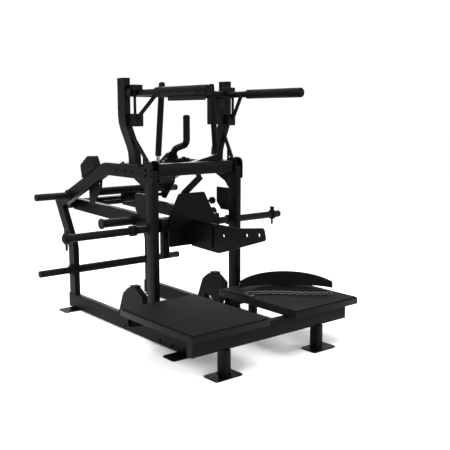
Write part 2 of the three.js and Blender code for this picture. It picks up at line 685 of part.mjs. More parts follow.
// Front beam on two legs
const leg = { out: 35.5, wide: 48, front: 56, deep: 70, footInset: 48.5, footReach: 144.5, footFront: 22, footBack: 145 };
const legX = frameHalfSpan + leg.out;
const drainRadius = 6;
const beamEdge = (side) => side * beamHalf;
const beamTube = alongX(
  tubeSection(beam.front, beam.low, beam.front + beam.deep, deckUnder), -beamHalf, beamHalf);
const drain = bar(
  [0, beam.front + beam.deep / 2, beam.low - overrun], [0, beam.front + beam.deep / 2, beam.low + overrun],
  drainRadius, 12);
const beamEnds = [-1, 1].map((side) => block(
  [beamEdge(side) - side * weld, beam.front, beam.low],
  [beamEdge(side) + side * endThick, beam.front + beam.deep, deckUnder]));
const legs = [-1, 1].map((side) => {
  const [left, right] = hand(side, legX - leg.wide / 2, legX + leg.wide / 2);
  const post = alongZ(tubeSection(left, leg.front, right, leg.front + leg.deep), footThick, beam.low + weld);
  return join(post, footPlate(side, leg.footInset, leg.footReach, leg.footFront, leg.footBack));
});
piece(frame, "front_beam", join(cut(beamTube, drain), ...beamEnds, ...legs), coat);

// Decks are sheet trays with ribs below and a rubber mat on top
const deck = { corner: 12, wall: 5, top: 5, mat: 6, matInset: 8, ribs: 3 };
const trayTop = deckTopZ - deck.mat;
const deckOutline = (side, inset, corner) => {
  const [left, right] = hand(side, deckInner + inset, deckOuter - inset);
  return rounded(box(left, inset, right, deckDeep - inset), corner, 2 * arcStep);
};
pair(frame, "deck_tray", (side) => {
  const wall = alongZ(
    shapeOf(deckOutline(side, 0, deck.corner), [deckOutline(side, deck.wall, deck.corner - deck.wall)]),
    deckUnder, trayTop - deck.top + weld);
  const sheet = alongZ(shapeOf(deckOutline(side, 0, deck.corner)), trayTop - deck.top, trayTop, deck.top / 4);
  const ribs = Array.from({ length: deck.ribs }, (_, i) => {
    const x = side * (deckInner + ((i + 1) * deckWide) / (deck.ribs + 1));
    const half = deck.wall / 2;
    return block([x - half, half, deckUnder], [x + half, deckDeep - half, trayTop - half]);
  });
  return join(wall, sheet, ...ribs);
}, satin);
pair(frame, "deck_mat", (side) =>
  alongZ(shapeOf(deckOutline(side, deck.matInset, deck.corner - deck.wall)), trayTop, deckTopZ, deck.mat / 4), tread);

// Stands on the base rails catch the lowered pegs on rubber pads
const stand = {
  frontY: 985, noseY: 942, noseLow: 122, noseHigh: 160, padFront: 1032, padBack: 1084, high: 212,
  shoulderY: 1127, shoulderRise: 193, backY: 1185, backRise: 150, heelY: 1248, radius: 8, padHigh: 8, padOver: 4,
};
const standWindow = { frontY: 1040, backY: 1156, low: 12, topY: 1150, topRise: 54, radius: 5 };
const standTop = railTop + stand.high;
pair(frame, "bumper_stand", (side) => {
  const outline = rounded([
    [stand.frontY, railTop, 0],
    [stand.heelY, railTop, 0],
    [stand.backY, railTop + stand.backRise],
    [stand.shoulderY, railTop + stand.shoulderRise],
    [stand.padBack, standTop],
    [stand.padFront, standTop],
    [stand.noseY, railTop + stand.noseHigh],
    [stand.noseY, railTop + stand.noseLow],
  ], stand.radius);
  const window = rounded([
    [standWindow.frontY, railTop + standWindow.low],
    [standWindow.backY, railTop + standWindow.low],
    [standWindow.topY, railTop + standWindow.topRise],
  ], standWindow.radius);
  const body = alongX(shapeOf(outline, [window]), side * frameInner, side * frameOuter, tubeEdge / 3);
  const pad = block(
    [side * (frameInner - stand.padOver), stand.padFront - stand.padOver, standTop - weld],
    [side * (frameOuter + stand.padOver), stand.padBack + stand.padOver, standTop + stand.padHigh],
    stand.padHigh / 4);
  return join(body, pad);
}, coat);

// Rubber blocks on the upper edge of the diagonals
const bumper = {
  frontY: 1515, backY: 1700, half: 30, radius: 14,
  peaks: [[166, 77.5], [217, 76], [322, 6.5]],
};
const diagonalTop = (y) => diagonalZ(y) + (tubeDeep / 2) * Math.hypot(1, diagonalSlope) + fit;
pair(frame, "rail_bumper", (side) => alongX(
  shapeOf(rounded([
    [bumper.backY, diagonalTop(bumper.backY), 0],
    ...bumper.peaks.map(([along, rise]) => [topBendY + along, topRailZ + rise]).reverse(),
    [bumper.frontY, diagonalTop(bumper.frontY), 0],
  ], bumper.radius)),
  side * (frameHalfSpan - bumper.half), side * (frameHalfSpan + bumper.half)), rubber);

// Lever axle, held in a blind bearing on the inner face of each rear corner
const axleRadius = 15;
const bearing = { flangeRadius: 42, flangeThick: 8, bossRadius: 32, length: 24, floor: 4 };
const axleHalf = frameInner - bearing.floor - fit;
const pivotLine = (x) => [x, pivotY, pivotZ];
pair(frame, "pivot_bearing", (side) => turned([
  [0, 0], [bearing.flangeRadius, 0], [bearing.flangeRadius, bearing.flangeThick],
  [bearing.bossRadius, bearing.flangeThick], [bearing.bossRadius, bearing.length],
  [axleRadius + fit, bearing.length], [axleRadius + fit, bearing.floor], [0, bearing.floor],
], pivotLine(side * frameInner), pivotLine(0)), satin);
piece(frame, "lever_axle", bar(pivotLine(-axleHalf), pivotLine(axleHalf), axleRadius), steel);

// Lever hub turns on flanged bushes
const hub = { radius: 35, boreRadius: 20, runningGap: 4 };
const bush = { flangeRadius: 31, flangeThick: 3, length: 38 };
const bushFace = frameInner - bearing.length - hub.runningGap;
const hubHalf = bushFace - bush.flangeThick;
function sleeveRing(outerRadius, innerRadius, length) {
  return [[innerRadius, 0], [outerRadius, 0], [outerRadius, length], [innerRadius, length], [innerRadius, 0]];
}
piece(lever, "lever_hub", turned(
  sleeveRing(hub.radius, hub.boreRadius, 2 * hubHalf), pivotLine(-hubHalf), pivotLine(hubHalf), 24), coat);
const bushInner = axleRadius + fit;
const bushOuter = hub.boreRadius - fit;
pair(lever, "lever_bush", (side) => turned([
  [bushInner, 0], [bush.flangeRadius, 0], [bush.flangeRadius, bush.flangeThick], [bushOuter, bush.flangeThick],
  [bushOuter, bush.length], [bushInner, bush.length], [bushInner, 0],
], pivotLine(side * bushFace), pivotLine(0)), bronze);

// Two lever beams run forward from the hub, each with a short horn on its outer face
const leverBeam = { inset: 143.5, wide: 45, high: 88, frontY: 949, frontZ: 740 };
const leverInner = frameHalfSpan - leverBeam.inset;
const leverOuter = leverInner + leverBeam.wide;
const leverZ = (y) => pivotZ + ((pivotY - y) / (pivotY - leverBeam.frontY)) * (leverBeam.frontZ - pivotZ);
const leverSkew = (half, front, back) => [
  [front, leverZ(front) - half], [back, leverZ(back) - half], [back, leverZ(back) + half], [front, leverZ(front) + half],
];
const hubRoom = bar(pivotLine(-hubHalf - overrun), pivotLine(hubHalf + overrun), hub.radius + fit, 24);
const horn = { y: 1250, z: 735, radius: 28.5, length: 240, collarRadius: 36, collarThick: 12 };
function hornBody(side) {
  const neck = horn.length - horn.collarThick;
  return turned([
    [0, -weld], [horn.radius, -weld], [horn.radius, neck], [horn.collarRadius, neck],
    [horn.collarRadius, horn.length], [0, horn.length],
  ], [side * leverOuter, horn.y, horn.z], [side * (leverOuter + horn.length), horn.y, horn.z]);
}

pair(lever, "lever_beam", (side) => {
  const [left, right] = hand(side, leverInner, leverOuter);
  const half = leverBeam.high / 2;
  const body = alongX(shapeOf(rounded(leverSkew(half, leverBeam.frontY, pivotY))), left, right, tubeEdge / 3);
  const inside = alongX(
    shapeOf(rounded(leverSkew(half - tubeWall, leverBeam.frontY - overrun, pivotY + overrun))),
    left + tubeWall, right - tubeWall);
  return join(cut(body, inside, hubRoom), hornBody(side));
}, coat);

const crossDeep = 60;
const crossFront = leverBeam.frontY - crossDeep;
const crossLow = leverBeam.frontZ - leverBeam.high / 2;
piece(lever, "lever_cross_tube", alongX(
  tubeSection(crossFront, crossLow, leverBeam.frontY, crossLow + leverBeam.high), -leverOuter, leverOuter), coat);

// Shield plate on the cross tube's front, with the lockout's catch and the pull pin's housing on its back
const shield = {
  topHalf: 105, topZ: 942, waistHalf: 186, waistZ: 790, lowZ: 595, radius: 16,
  catchLeft: -62, catchRight: -2, catchZ: 927, catchThick: 8, catchDeep: 12,
};
const pullPin = {
  z: 875, radius: 8, inner: 60, knobX: 177, knobRadius: 24, knobLength: 26, housingRadius: 13, housingLeft: 92,
  housingRight: 136,
};
const shieldBack = crossFront;
const shieldFront = shieldBack - sheetThick;
const pullPinY = shieldBack + pullPin.housingRadius - weld;
const pullPinLine = (x) => [x, pullPinY, pullPin.z];
const shieldPlate = alongY(shapeOf(rounded([
  [-shield.topHalf, shield.topZ], [-shield.waistHalf, shield.waistZ], [-shield.waistHalf, shield.lowZ],
  [shield.waistHalf, shield.lowZ], [shield.waistHalf, shield.waistZ], [shield.topHalf, shield.topZ],
], shield.radius)), shieldFront, shieldBack);
piece(lever, "shield_catch", block(
  [shield.catchLeft, shieldBack, shield.catchZ],
  [shield.catchRight, shieldBack + shield.catchDeep, shield.catchZ + shield.catchThick]), coat);
const housing = bar(pullPinLine(pullPin.housingLeft), pullPinLine(pullPin.housingRight), pullPin.housingRadius, 16);
const housingBore = bar(
  pullPinLine(pullPin.housingLeft - overrun), pullPinLine(pullPin.housingRight + overrun), pullPin.radius + fit, 16);
piece(lever, "shield_plate", cut(join(shieldPlate, housing), housingBore), coat);
piece(lever, "pull_pin", join(
  bar(pullPinLine(pullPin.inner), pullPinLine(pullPin.knobX + overrun), pullPin.radius, 16),
  turned(
    roundEnded(pullPin.knobRadius, pullPin.knobLength, pullPin.knobLength / 3),
    pullPinLine(pullPin.knobX), pullPinLine(pullPin.knobX + pullPin.knobLength))), rubber);

// Nose plate with a row of holes for the belt's chain, stiffened by a doubler on each face
const nose = {
  thick: 12, rootLow: 587, kneeY: 593, kneeZ: 576, kneeRadius: 110, tipY: 158, tipLow: 717, tipBackY: 178, tipTop: 791,
  tipRadius: 20, browY: 402, browZ: 762, browRadius: 60, holeRadius: 12,
  holes: [[547, 697], [436, 713], [326, 728], [215, 744]],
};
const doubler = { frontY: 652, lowZ: 600, highZ: 742, thick: 10, radius: 6 };
const nosePlate = alongX(
  shapeOf(
    rounded([
      [shieldFront, nose.rootLow, 0],
      [nose.kneeY, nose.kneeZ, nose.kneeRadius],
      [nose.tipY, nose.tipLow, nose.tipRadius],
      [nose.tipBackY, nose.tipTop, nose.tipRadius],
      [nose.browY, nose.browZ, nose.browRadius],
      [shieldFront, nose.browZ, 0],
    ], 0, fineStep).reverse(),
    nose.holes.map(([y, z]) => ring(y, z, nose.holeRadius, arcStep))),
  -nose.thick / 2, nose.thick / 2);
const doublers = [-1, 1].map((side) => alongX(
  shapeOf(rounded(box(doubler.frontY, doubler.lowZ, shieldFront, doubler.highZ), doubler.radius)),
  side * (nose.thick / 2 - weld), side * (nose.thick / 2 + doubler.thick)));
piece(lever, "nose_plate", join(nosePlate, ...doublers), coat);

// Loading pegs for the plates
const loading = { y: 979, z: 715, radius: 25, flangeStart: 140, flangeEnd: 182, flangeRadius: 35, edge: 6 };
const loadingLine = (x) => [x, loading.y, loading.z];
pair(lever, "loading_peg", (side) => {
  const { radius, flangeStart, flangeEnd, flangeRadius, edge } = loading;
  const end = sleeveHalfSpan - leverOuter;
  return turned([
    [0, 0], [radius, 0], [radius, flangeStart], [flangeRadius, flangeStart], [flangeRadius, flangeEnd],
    [radius, flangeEnd], ...dome(radius, end, edge), [0, end],
  ], loadingLine(side * leverOuter), loadingLine(side * sleeveHalfSpan), 20);
}, satin);

// A stay between the beams carries the drop leg
const drop = { y: 1058, wide: 50, x: -100, stayTop: 765, lowZ: 492, footThick: 8, footHalf: 32 };
const dropFront = drop.y - drop.wide / 2;
const stayLow = drop.stayTop - drop.wide;
const stayTube = alongX(
  tubeSection(dropFront, stayLow, dropFront + drop.wide, drop.stayTop), -leverInner, leverInner);
const dropTube = alongZ(
  tubeSection(drop.x - drop.wide / 2, dropFront, drop.x + drop.wide / 2, dropFront + drop.wide),
  drop.lowZ + drop.footThick - weld, stayLow + weld);
const dropFoot = block(
  [drop.x - drop.footHalf, drop.y - drop.footHalf, drop.lowZ],
  [drop.x + drop.footHalf, drop.y + drop.footHalf, drop.lowZ + drop.footThick]);
piece(lever, "drop_leg", join(stayTube, dropTube, dropFoot), coat);

// Lock collars slide on the sleeves
const collar = {
  wide: 22, radius: 36, rightInset: 71, leftInset: 22, earWide: 14, earHalf: 16, earHigh: 24, edge: 3,
  pinRadius: 8, pinEdge: 6, pinDrop: 44,
};
function lockCollar(name, x) {
  const { y, z, radius } = loading;
  const half = collar.wide / 2;
  const band = turned(
    sleeveRing(collar.radius, radius + fit, collar.wide), loadingLine(x - half), loadingLine(x + half), 20);
  const earBlock = block(
    [x - collar.earWide / 2, y - collar.earHalf, z + collar.radius - half / 2],
    [x + collar.earWide / 2, y + collar.earHalf, z + collar.radius + collar.earHigh], collar.edge);
  const pin = turned(
    roundEnded(collar.pinRadius, collar.pinDrop, collar.pinEdge),
    [x, y, z - collar.radius + half / 2], [x, y, z - 2 * collar.radius], 12);
  piece(lever, name, join(band, earBlock, pin), satin);
}
lockCollar("lock_collar_left", collar.leftInset - sleeveHalfSpan);
lockCollar("lock_collar_right", sleeveHalfSpan - collar.rightInset);

// Lockout handle on its hub, and the hook that holds the shield's catch
const grip = { radius: 23, capLength: 26, capEdge: 12, riseY: 1075, riseZ: 1222, turnY: 935, turnZ: 1259, topZ: 1450, bend: 34, steps: 20 };
const lockHub = bar(pinLine(lockPivot.hubLeft), pinLine(lockPivot.hubRight), lockPivot.hubRadius, 20);
const lockBore = bar(
  pinLine(lockPivot.hubLeft - overrun), pinLine(lockPivot.hubRight + overrun), lockPivot.pinRadius + fit, 12);
const gripTube = bentBar([
  [0, lockBar.y, lockPivotZ], [0, grip.riseY, grip.riseZ], [0, grip.turnY, grip.turnZ],
  [0, grip.turnY, grip.topZ - grip.capLength + weld],
], grip.radius, grip.bend, grip.steps);
const gripCap = turned(
  roundEnded(grip.radius + weld, grip.capLength, grip.capEdge),
  [0, grip.turnY, grip.topZ - grip.capLength], [0, grip.turnY, grip.topZ]);
const gripWeb = { lowHalf: 50, topZ: 1205, thick: 10 };
const web = alongY(shapeOf([
  [-gripWeb.lowHalf, lockPivotZ], [gripWeb.lowHalf, lockPivotZ], [grip.radius, gripWeb.topZ], [-grip.radius, gripWeb.topZ],
].map(([x, z]) => new THREE.Vector2(x, z))), lockBar.y - gripWeb.thick, lockBar.y);
piece(lockout, "lockout_handle", cut(join(lockHub, gripTube, gripCap, web), lockBore), coat);

// The hook is drawn with its toe under the catch and then swung back to its free place
const hook = {
  swing: 6, armX: 100, armThick: 12, armHigh: 28, eyeRadius: 31, hangerTopZ: 1061, hangerX: -32, hangerZ: 949,
  wide: 40, thick: 20, catchGap: 1.5, toeThick: 10, toeGap: 1.2,
};
const hangerFront = shieldBack + shield.catchDeep + hook.catchGap;
const hangerBack = hangerFront + hook.thick;
const toeTop = shield.catchZ - hook.catchGap;
const hookArm = alongX(
  shapeOf(rounded(band(strip(
    [[lockBar.y, lockPivotZ], [(hangerFront + hangerBack) / 2, hook.hangerTopZ]], hook.armHigh, 0)))),
  hook.armX - hook.armThick / 2, hook.armX + hook.armThick / 2);
const hookEye = bar(
  [hook.armX - hook.armThick / 2, lockBar.y, lockPivotZ], [hook.armX + hook.armThick / 2, lockBar.y, lockPivotZ],
  hook.eyeRadius);
const hubSeat = bar(
  [hook.armX - hook.armThick, lockBar.y, lockPivotZ], [hook.armX + hook.armThick, lockBar.y, lockPivotZ],
  lockPivot.hubRadius + fit, 20);
const hanger = alongY(
  shapeOf(rounded(band(strip([
    [hook.armX + hook.armThick / 2, hook.hangerTopZ], [hook.hangerX, hook.hangerZ], [hook.hangerX, toeTop - hook.toeThick],
  ], hook.wide, hook.wide / 2 + overrun)), 0)),
  hangerFront, hangerBack);
const toe = block(
  [hook.hangerX - hook.wide / 2, shieldBack + hook.toeGap, toeTop - hook.toeThick],
  [hook.hangerX + hook.wide / 2, hangerFront - fit, toeTop]);
function swung(name, body) {
  const mesh = piece(lockout, name, body.translate([0, -lockBar.y, -lockPivotZ]), coat);
  mesh.position.set(0, lockBar.y, lockPivotZ);
  mesh.rotation.x = THREE.MathUtils.degToRad(hook.swing);
}
swung("lockout_hook", cut(join(hookArm, hookEye, hanger), hubSeat));
swung("lockout_hook_toe", toe);

// A closed skin through a row of sections, with flat ends or joined round into a ring
function lofted(sections, joined = false) {
  const count = sections[0].length;
  const rows = sections.length;
  const faces = [];
  for (let row = 0; row < (joined ? rows : rows - 1); row += 1) {
    const [near, far] = [row * count, ((row + 1) % rows) * count];
    for (let k = 0; k < count; k += 1) {
      const next = (k + 1) % count;
      faces.push(near + k, near + next, far + next, near + k, far + next, far + k);
    }
  }
  for (let k = 1; !joined && k < count - 1; k += 1) {
    const last = (rows - 1) * count;
    faces.push(0, k + 1, k, last, last + k, last + k + 1);
  }
  const geometry = new THREE.BufferGeometry();
  geometry.setAttribute("position", new THREE.Float32BufferAttribute(sections.flat(2), 3));
  geometry.setIndex(faces);
  return geometry;
}

// The padded belt stands on its edge on the right deck, curved as it is worn
const belt = {
  x: 312, y: 288, radius: 326, facing: (50.5 * Math.PI) / 180, halfTurn: (68 * Math.PI) / 180, thick: 14, high: 95,
  endHigh: 42, stations: 18,
};
const beltSections = Array.from({ length: belt.stations + 1 }, (_, i) => {
  const share = (2 * i) / belt.stations - 1;
  const angle = belt.facing + share * belt.halfTurn;
  const lift = ((belt.high - belt.endHigh) * (1 - Math.cos((share * Math.PI) / 2))) / 2;
  const [low, high] = [deckTopZ + fit + lift, deckTopZ + fit + belt.high - lift];
  const at = (radius, z) => [belt.x + radius * Math.cos(angle), belt.y + radius * Math.sin(angle), z];
  const [near, far] = [belt.radius - belt.thick / 2, belt.radius + belt.thick / 2];
  return [at(near, low), at(far, low), at(far, high), at(near, high)].reverse();
});
piece(frame, "squat_belt", solid(lofted(beltSections)), webbing);

// The belt's chain and snap hook lie in front of it: a wire bent round two long sides and two round ends
const chain = {
  x: 148, y: 494, pitch: 25.5, links: 22, wide: 25, wire: 7, sides: 4, ease: 2, heading: (-39.9 * Math.PI) / 180,
  sway: (9 * Math.PI) / 180, hookLong: 82, hookWide: 44, hookWire: 9, hookTurn: (-82 * Math.PI) / 180,
};
function wireRing(long, wide, wire, sides) {
  const reach = (wide - wire) / 2;
  const straight = (long - wide) / 2;
  const quarter = Math.PI / 4;
  const spots = [...Array(8).keys()].map((k) => {
    const angle = Math.floor(k / 4) * Math.PI + ((k % 4) * Math.PI) / 3 - Math.PI / 2;
    const shift = k < 4 ? straight : -straight;
    return { angle, x: shift + reach * Math.cos(angle), y: reach * Math.sin(angle) };
  });
  return lofted(spots.map(({ angle, x, y }) => Array.from({ length: sides }, (_, i) => {
    const turn = quarter + (2 * Math.PI * i) / sides;
    const out = (wire / 2) * Math.cos(turn);
    return [x + out * Math.cos(angle), y + out * Math.sin(angle), (wire / 2) * Math.sin(turn)];
  }).reverse()), true);
}

function placedRing(geometry, tilt, heading, x, y, z) {
  const turn = new THREE.Matrix4().makeRotationZ(heading).multiply(new THREE.Matrix4().makeRotationX(tilt));
  return solid(geometry.applyMatrix4(turn.setPosition(x, y, z)));
}

const linkLong = chain.pitch + 2 * chain.wire - chain.ease;
const linkZ = deckTopZ + fit + chain.wire / 2 + ((chain.wide - chain.wire) / 2) * Math.SQRT1_2;
const spot = new THREE.Vector2(chain.x, chain.y);
const links = Array.from({ length: chain.links }, (_, i) => {
  const heading = chain.heading + chain.sway * Math.cos((2 * Math.PI * i) / chain.links);
  const tilt = ((i % 2 ? 1 : -1) * Math.PI) / 4;
  const link = placedRing(
    wireRing(linkLong, chain.wide, chain.wire, chain.sides), tilt, heading, spot.x, spot.y, linkZ);
  spot.x += chain.pitch * Math.cos(heading);
  spot.y += chain.pitch * Math.sin(heading);
  return link;
});
const hookReach = chain.hookLong / 2 - chain.hookWire;
const snapHook = placedRing(
  wireRing(chain.hookLong, chain.hookWide, chain.hookWire, chain.sides), 0, chain.hookTurn,
  chain.x - linkLong / 2 + chain.wire + hookReach * Math.cos(chain.hookTurn),
  chain.y + hookReach * Math.sin(chain.hookTurn), deckTopZ + fit + chain.hookWire / 2);
piece(frame, "belt_chain", join(...links, snapHook), darkSteel);

// The finished machine stands on the origin
const extent = new THREE.Box3().setFromObject(machine);
const middle = extent.getCenter(new THREE.Vector3());
machine.position.set(-middle.x, -middle.y, -extent.min.z);
const part = new THREE.Group();
part.add(machine);

export default part;
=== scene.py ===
import json
import math

import bmesh
import bpy
from mathutils import Matrix, Vector, noise

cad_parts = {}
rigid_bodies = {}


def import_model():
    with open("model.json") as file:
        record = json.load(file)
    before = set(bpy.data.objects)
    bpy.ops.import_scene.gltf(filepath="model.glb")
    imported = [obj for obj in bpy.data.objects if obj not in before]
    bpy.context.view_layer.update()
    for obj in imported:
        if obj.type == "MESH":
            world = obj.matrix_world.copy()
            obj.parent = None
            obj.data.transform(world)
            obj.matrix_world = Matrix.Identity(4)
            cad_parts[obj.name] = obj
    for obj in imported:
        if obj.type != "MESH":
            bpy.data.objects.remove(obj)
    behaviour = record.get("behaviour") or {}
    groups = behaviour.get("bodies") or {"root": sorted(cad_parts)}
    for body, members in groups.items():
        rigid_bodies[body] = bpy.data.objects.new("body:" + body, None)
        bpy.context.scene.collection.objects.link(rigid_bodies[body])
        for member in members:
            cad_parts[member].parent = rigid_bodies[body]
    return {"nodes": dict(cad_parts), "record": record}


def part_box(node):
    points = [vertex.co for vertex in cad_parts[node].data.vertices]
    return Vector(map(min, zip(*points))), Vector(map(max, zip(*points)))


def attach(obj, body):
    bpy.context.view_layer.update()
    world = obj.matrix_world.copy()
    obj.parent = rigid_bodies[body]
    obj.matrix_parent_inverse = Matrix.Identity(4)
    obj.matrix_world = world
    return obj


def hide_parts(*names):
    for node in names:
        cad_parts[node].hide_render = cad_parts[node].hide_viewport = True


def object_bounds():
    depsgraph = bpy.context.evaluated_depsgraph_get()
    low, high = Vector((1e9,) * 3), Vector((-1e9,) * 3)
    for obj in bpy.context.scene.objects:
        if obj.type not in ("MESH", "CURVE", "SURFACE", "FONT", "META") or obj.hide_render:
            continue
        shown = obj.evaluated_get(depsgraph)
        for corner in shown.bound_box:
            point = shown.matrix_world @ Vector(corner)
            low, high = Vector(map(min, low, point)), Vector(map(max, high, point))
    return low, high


for leftover in list(bpy.data.objects):
    bpy.data.objects.remove(leftover)
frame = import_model()
cadLow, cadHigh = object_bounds()
nodes = frame["nodes"]
deckFront = cadLow.y    # the decks' front edge, where the build's own Y starts


def spot(x, y, z):
    # a place in millimetres, with Y counted from the decks' front edge
    return Vector((x / 1000, y / 1000 + deckFront, z / 1000))


def link(obj):
    bpy.context.scene.collection.objects.link(obj)
    return obj


# Camera, floor and light
view = {"place": (-2.8158, -3.9598, 1.450), "down": 8.77, "turn": 39.46, "lens": 57.14}
cameraData = bpy.data.cameras.new("camera")
cameraData.lens = view["lens"]
cameraData.sensor_width = 36
camera = link(bpy.data.objects.new("camera", cameraData))
camera.location = view["place"]
camera.rotation_euler = (math.radians(90 - view["down"]), 0, -math.radians(view["turn"]))
bpy.context.scene.camera = camera
bpy.context.scene.view_settings.view_transform = "Standard"    # the studio white stays white


def softLight(name, place, aim, size, power):
    data = bpy.data.lights.new(name, "AREA")
    data.shape = "RECTANGLE"
    data.size, data.size_y = size
    data.energy = power
    lamp = link(bpy.data.objects.new(name, data))
    lamp.location = place
    lamp.rotation_euler = (Vector(aim) - Vector(place)).to_track_quat("-Z", "Y").to_euler()


softLight("keyLight", (-4.0, -2.2, 3.6), (0, 0, 0.8), (1.6, 1.8), 240)
softLight("fillLight", (2.8, -4.6, 2.4), (0, 0, 0.8), (2.6, 2.0), 60)
softLight("topLight", (0.2, 0.2, 4.4), (0, 0, 0), (2.8, 2.8), 150)
softLight("rearLight", (2.4, 4.2, 2.8), (0, 0, 0.9), (2.6, 2.0), 70)

world = bpy.data.worlds.new("studio")
bpy.context.scene.world = world
world.use_nodes = True
world.node_tree.nodes["Background"].inputs["Color"].default_value = (1, 1, 1, 1)
world.node_tree.nodes["Background"].inputs["Strength"].default_value = 1.03
print("camera and lights set")


# Nodes of either kind: sockets are named, and a value is a number or another node's output
def add(tree, kind, given=None, **settings):
    node = tree.nodes.new(kind)
    for key, value in settings.items():
        setattr(node, key, value)
    for label, value in (given or {}).items():
        if isinstance(value, bpy.types.NodeSocket):
            tree.links.new(value, node.inputs[label])
        else:
            node.inputs[label].default_value = value
    return node


def sum2(tree, operation, first, second=None, clamp=False):
    node = add(tree, "ShaderNodeMath", {0: first}, operation=operation, use_clamp=clamp)
    if isinstance(second, bpy.types.NodeSocket):
        tree.links.new(second, node.inputs[1])
    elif second is not None:
        node.inputs[1].default_value = second
    return node.outputs[0]


def newTree(name, kind, inputs, outputs):
    tree = bpy.data.node_groups.new(name, kind)
    for label, socketKind, value in inputs:
        socket = tree.interface.new_socket(label, in_out="INPUT", socket_type=socketKind)
        if value is not None:
            socket.default_value = value
    for label, socketKind in outputs:
        tree.interface.new_socket(label, in_out="OUTPUT", socket_type=socketKind)
    return tree, tree.nodes.new("NodeGroupInput").outputs, tree.nodes.new("NodeGroupOutput").inputs


# Shader groups shared by several finishes
def noiseOf(tree, vector, scale, detail, rough=0.55):
    node = add(tree, "ShaderNodeTexNoise", {"Vector": vector, "Scale": scale, "Detail": detail, "Roughness": rough})
    return node.outputs["Fac"]


def makeGrain():
    # fine orange peel or moulded grain, with slow changes of tone over the piece
    tree, given, out = newTree("surfaceGrain", "ShaderNodeTree", [
        ("Grain Scale", "NodeSocketFloat", 700.0), ("Cloud Scale", "NodeSocketFloat", 5.0),
        ("Tone Change", "NodeSocketFloat", 0.3),
    ], [("Height", "NodeSocketFloat"), ("Tone", "NodeSocketFloat"), ("Gloss", "NodeSocketFloat")])
    where = add(tree, "ShaderNodeTexCoord").outputs["Object"]
    fine = noiseOf(tree, where, given["Grain Scale"], 2.0)
    cloud = noiseOf(tree, where, given["Cloud Scale"], 4.0)
    speck = noiseOf(tree, where, sum2(tree, "MULTIPLY", given["Grain Scale"], 0.12), 3.0)
    shift = sum2(tree, "MULTIPLY", sum2(tree, "SUBTRACT", cloud, 0.5), given["Tone Change"])
    gloss = sum2(tree, "ADD", sum2(tree, "MULTIPLY", cloud, 0.6), sum2(tree, "MULTIPLY", speck, 0.4))
    tree.links.new(fine, out["Height"])
    tree.links.new(sum2(tree, "ADD", shift, 1.0), out["Tone"])
    tree.links.new(gloss, out["Gloss"])
    return tree


def makeRub():
    # a broken rub mark where the surface turns an edge
    tree, given, out = newTree("edgeRub", "ShaderNodeTree", [
        ("Amount", "NodeSocketFloat", 0.5), ("Break Scale", "NodeSocketFloat", 60.0),
    ], [("Mask", "NodeSocketFloat")])
    bevel = add(tree, "ShaderNodeBevel", {"Radius": 0.003}, samples=4)
    flat = add(tree, "ShaderNodeNewGeometry")
    normals = {0: bevel.outputs["Normal"], 1: flat.outputs["Normal"]}
    dot = add(tree, "ShaderNodeVectorMath", normals, operation="DOT_PRODUCT")
    edge = sum2(tree, "MULTIPLY", sum2(tree, "SUBTRACT", 1.0, dot.outputs["Value"]), 9.0, clamp=True)
    where = add(tree, "ShaderNodeTexCoord").outputs["Object"]
    broken = noiseOf(tree, where, given["Break Scale"], 5.0, 0.7)
    kept = sum2(tree, "MULTIPLY", sum2(tree, "SUBTRACT", broken, 0.52), 7.0, clamp=True)
    mask = sum2(tree, "MULTIPLY", sum2(tree, "MULTIPLY", edge, kept), given["Amount"], clamp=True)
    tree.links.new(mask, out["Mask"])
    return tree


def makeWeave():
    # two sets of threads that pass over and under each other along the piece's own UV map, in metres
    tree, given, out = newTree("threadWeave", "ShaderNodeTree", [
        ("Place", "NodeSocketVector", (0, 0, 0)), ("Threads", "NodeSocketFloat", 900.0),
    ], [("Height", "NodeSocketFloat"), ("Tone", "NodeSocketFloat")])
    apart = add(tree, "ShaderNodeSeparateXYZ", {0: given["Place"]})
    waves, floors = [], []
    for axis in (0, 1):
        along = sum2(tree, "MULTIPLY", apart.outputs[axis], given["Threads"])
        waves.append(sum2(tree, "ABSOLUTE", sum2(tree, "SINE", sum2(tree, "MULTIPLY", along, math.pi))))
        floors.append(sum2(tree, "FLOOR", along))
    turn = sum2(tree, "MODULO", sum2(tree, "ABSOLUTE", sum2(tree, "ADD", floors[0], floors[1])), 2.0)
    over = sum2(tree, "MULTIPLY", waves[0], turn)
    under = sum2(tree, "MULTIPLY", waves[1], sum2(tree, "SUBTRACT", 1.0, turn))
    height = sum2(tree, "ADD", over, under)
    tree.links.new(height, out["Height"])
    tree.links.new(sum2(tree, "ADD", sum2(tree, "MULTIPLY", height, 0.5), 0.65), out["Tone"])
    return tree


grainGroup = makeGrain()
rubGroup = makeRub()
weaveGroup = makeWeave()


def scaledColour(tree, tone, colour):
    return add(tree, "ShaderNodeVectorMath", {0: colour, "Scale": tone}, operation="SCALE").outputs["Vector"]


def between(tree, value, low, high):
    return add(tree, "ShaderNodeMapRange", {"Value": value, "To Min": low, "To Max": high}).outputs["Result"]


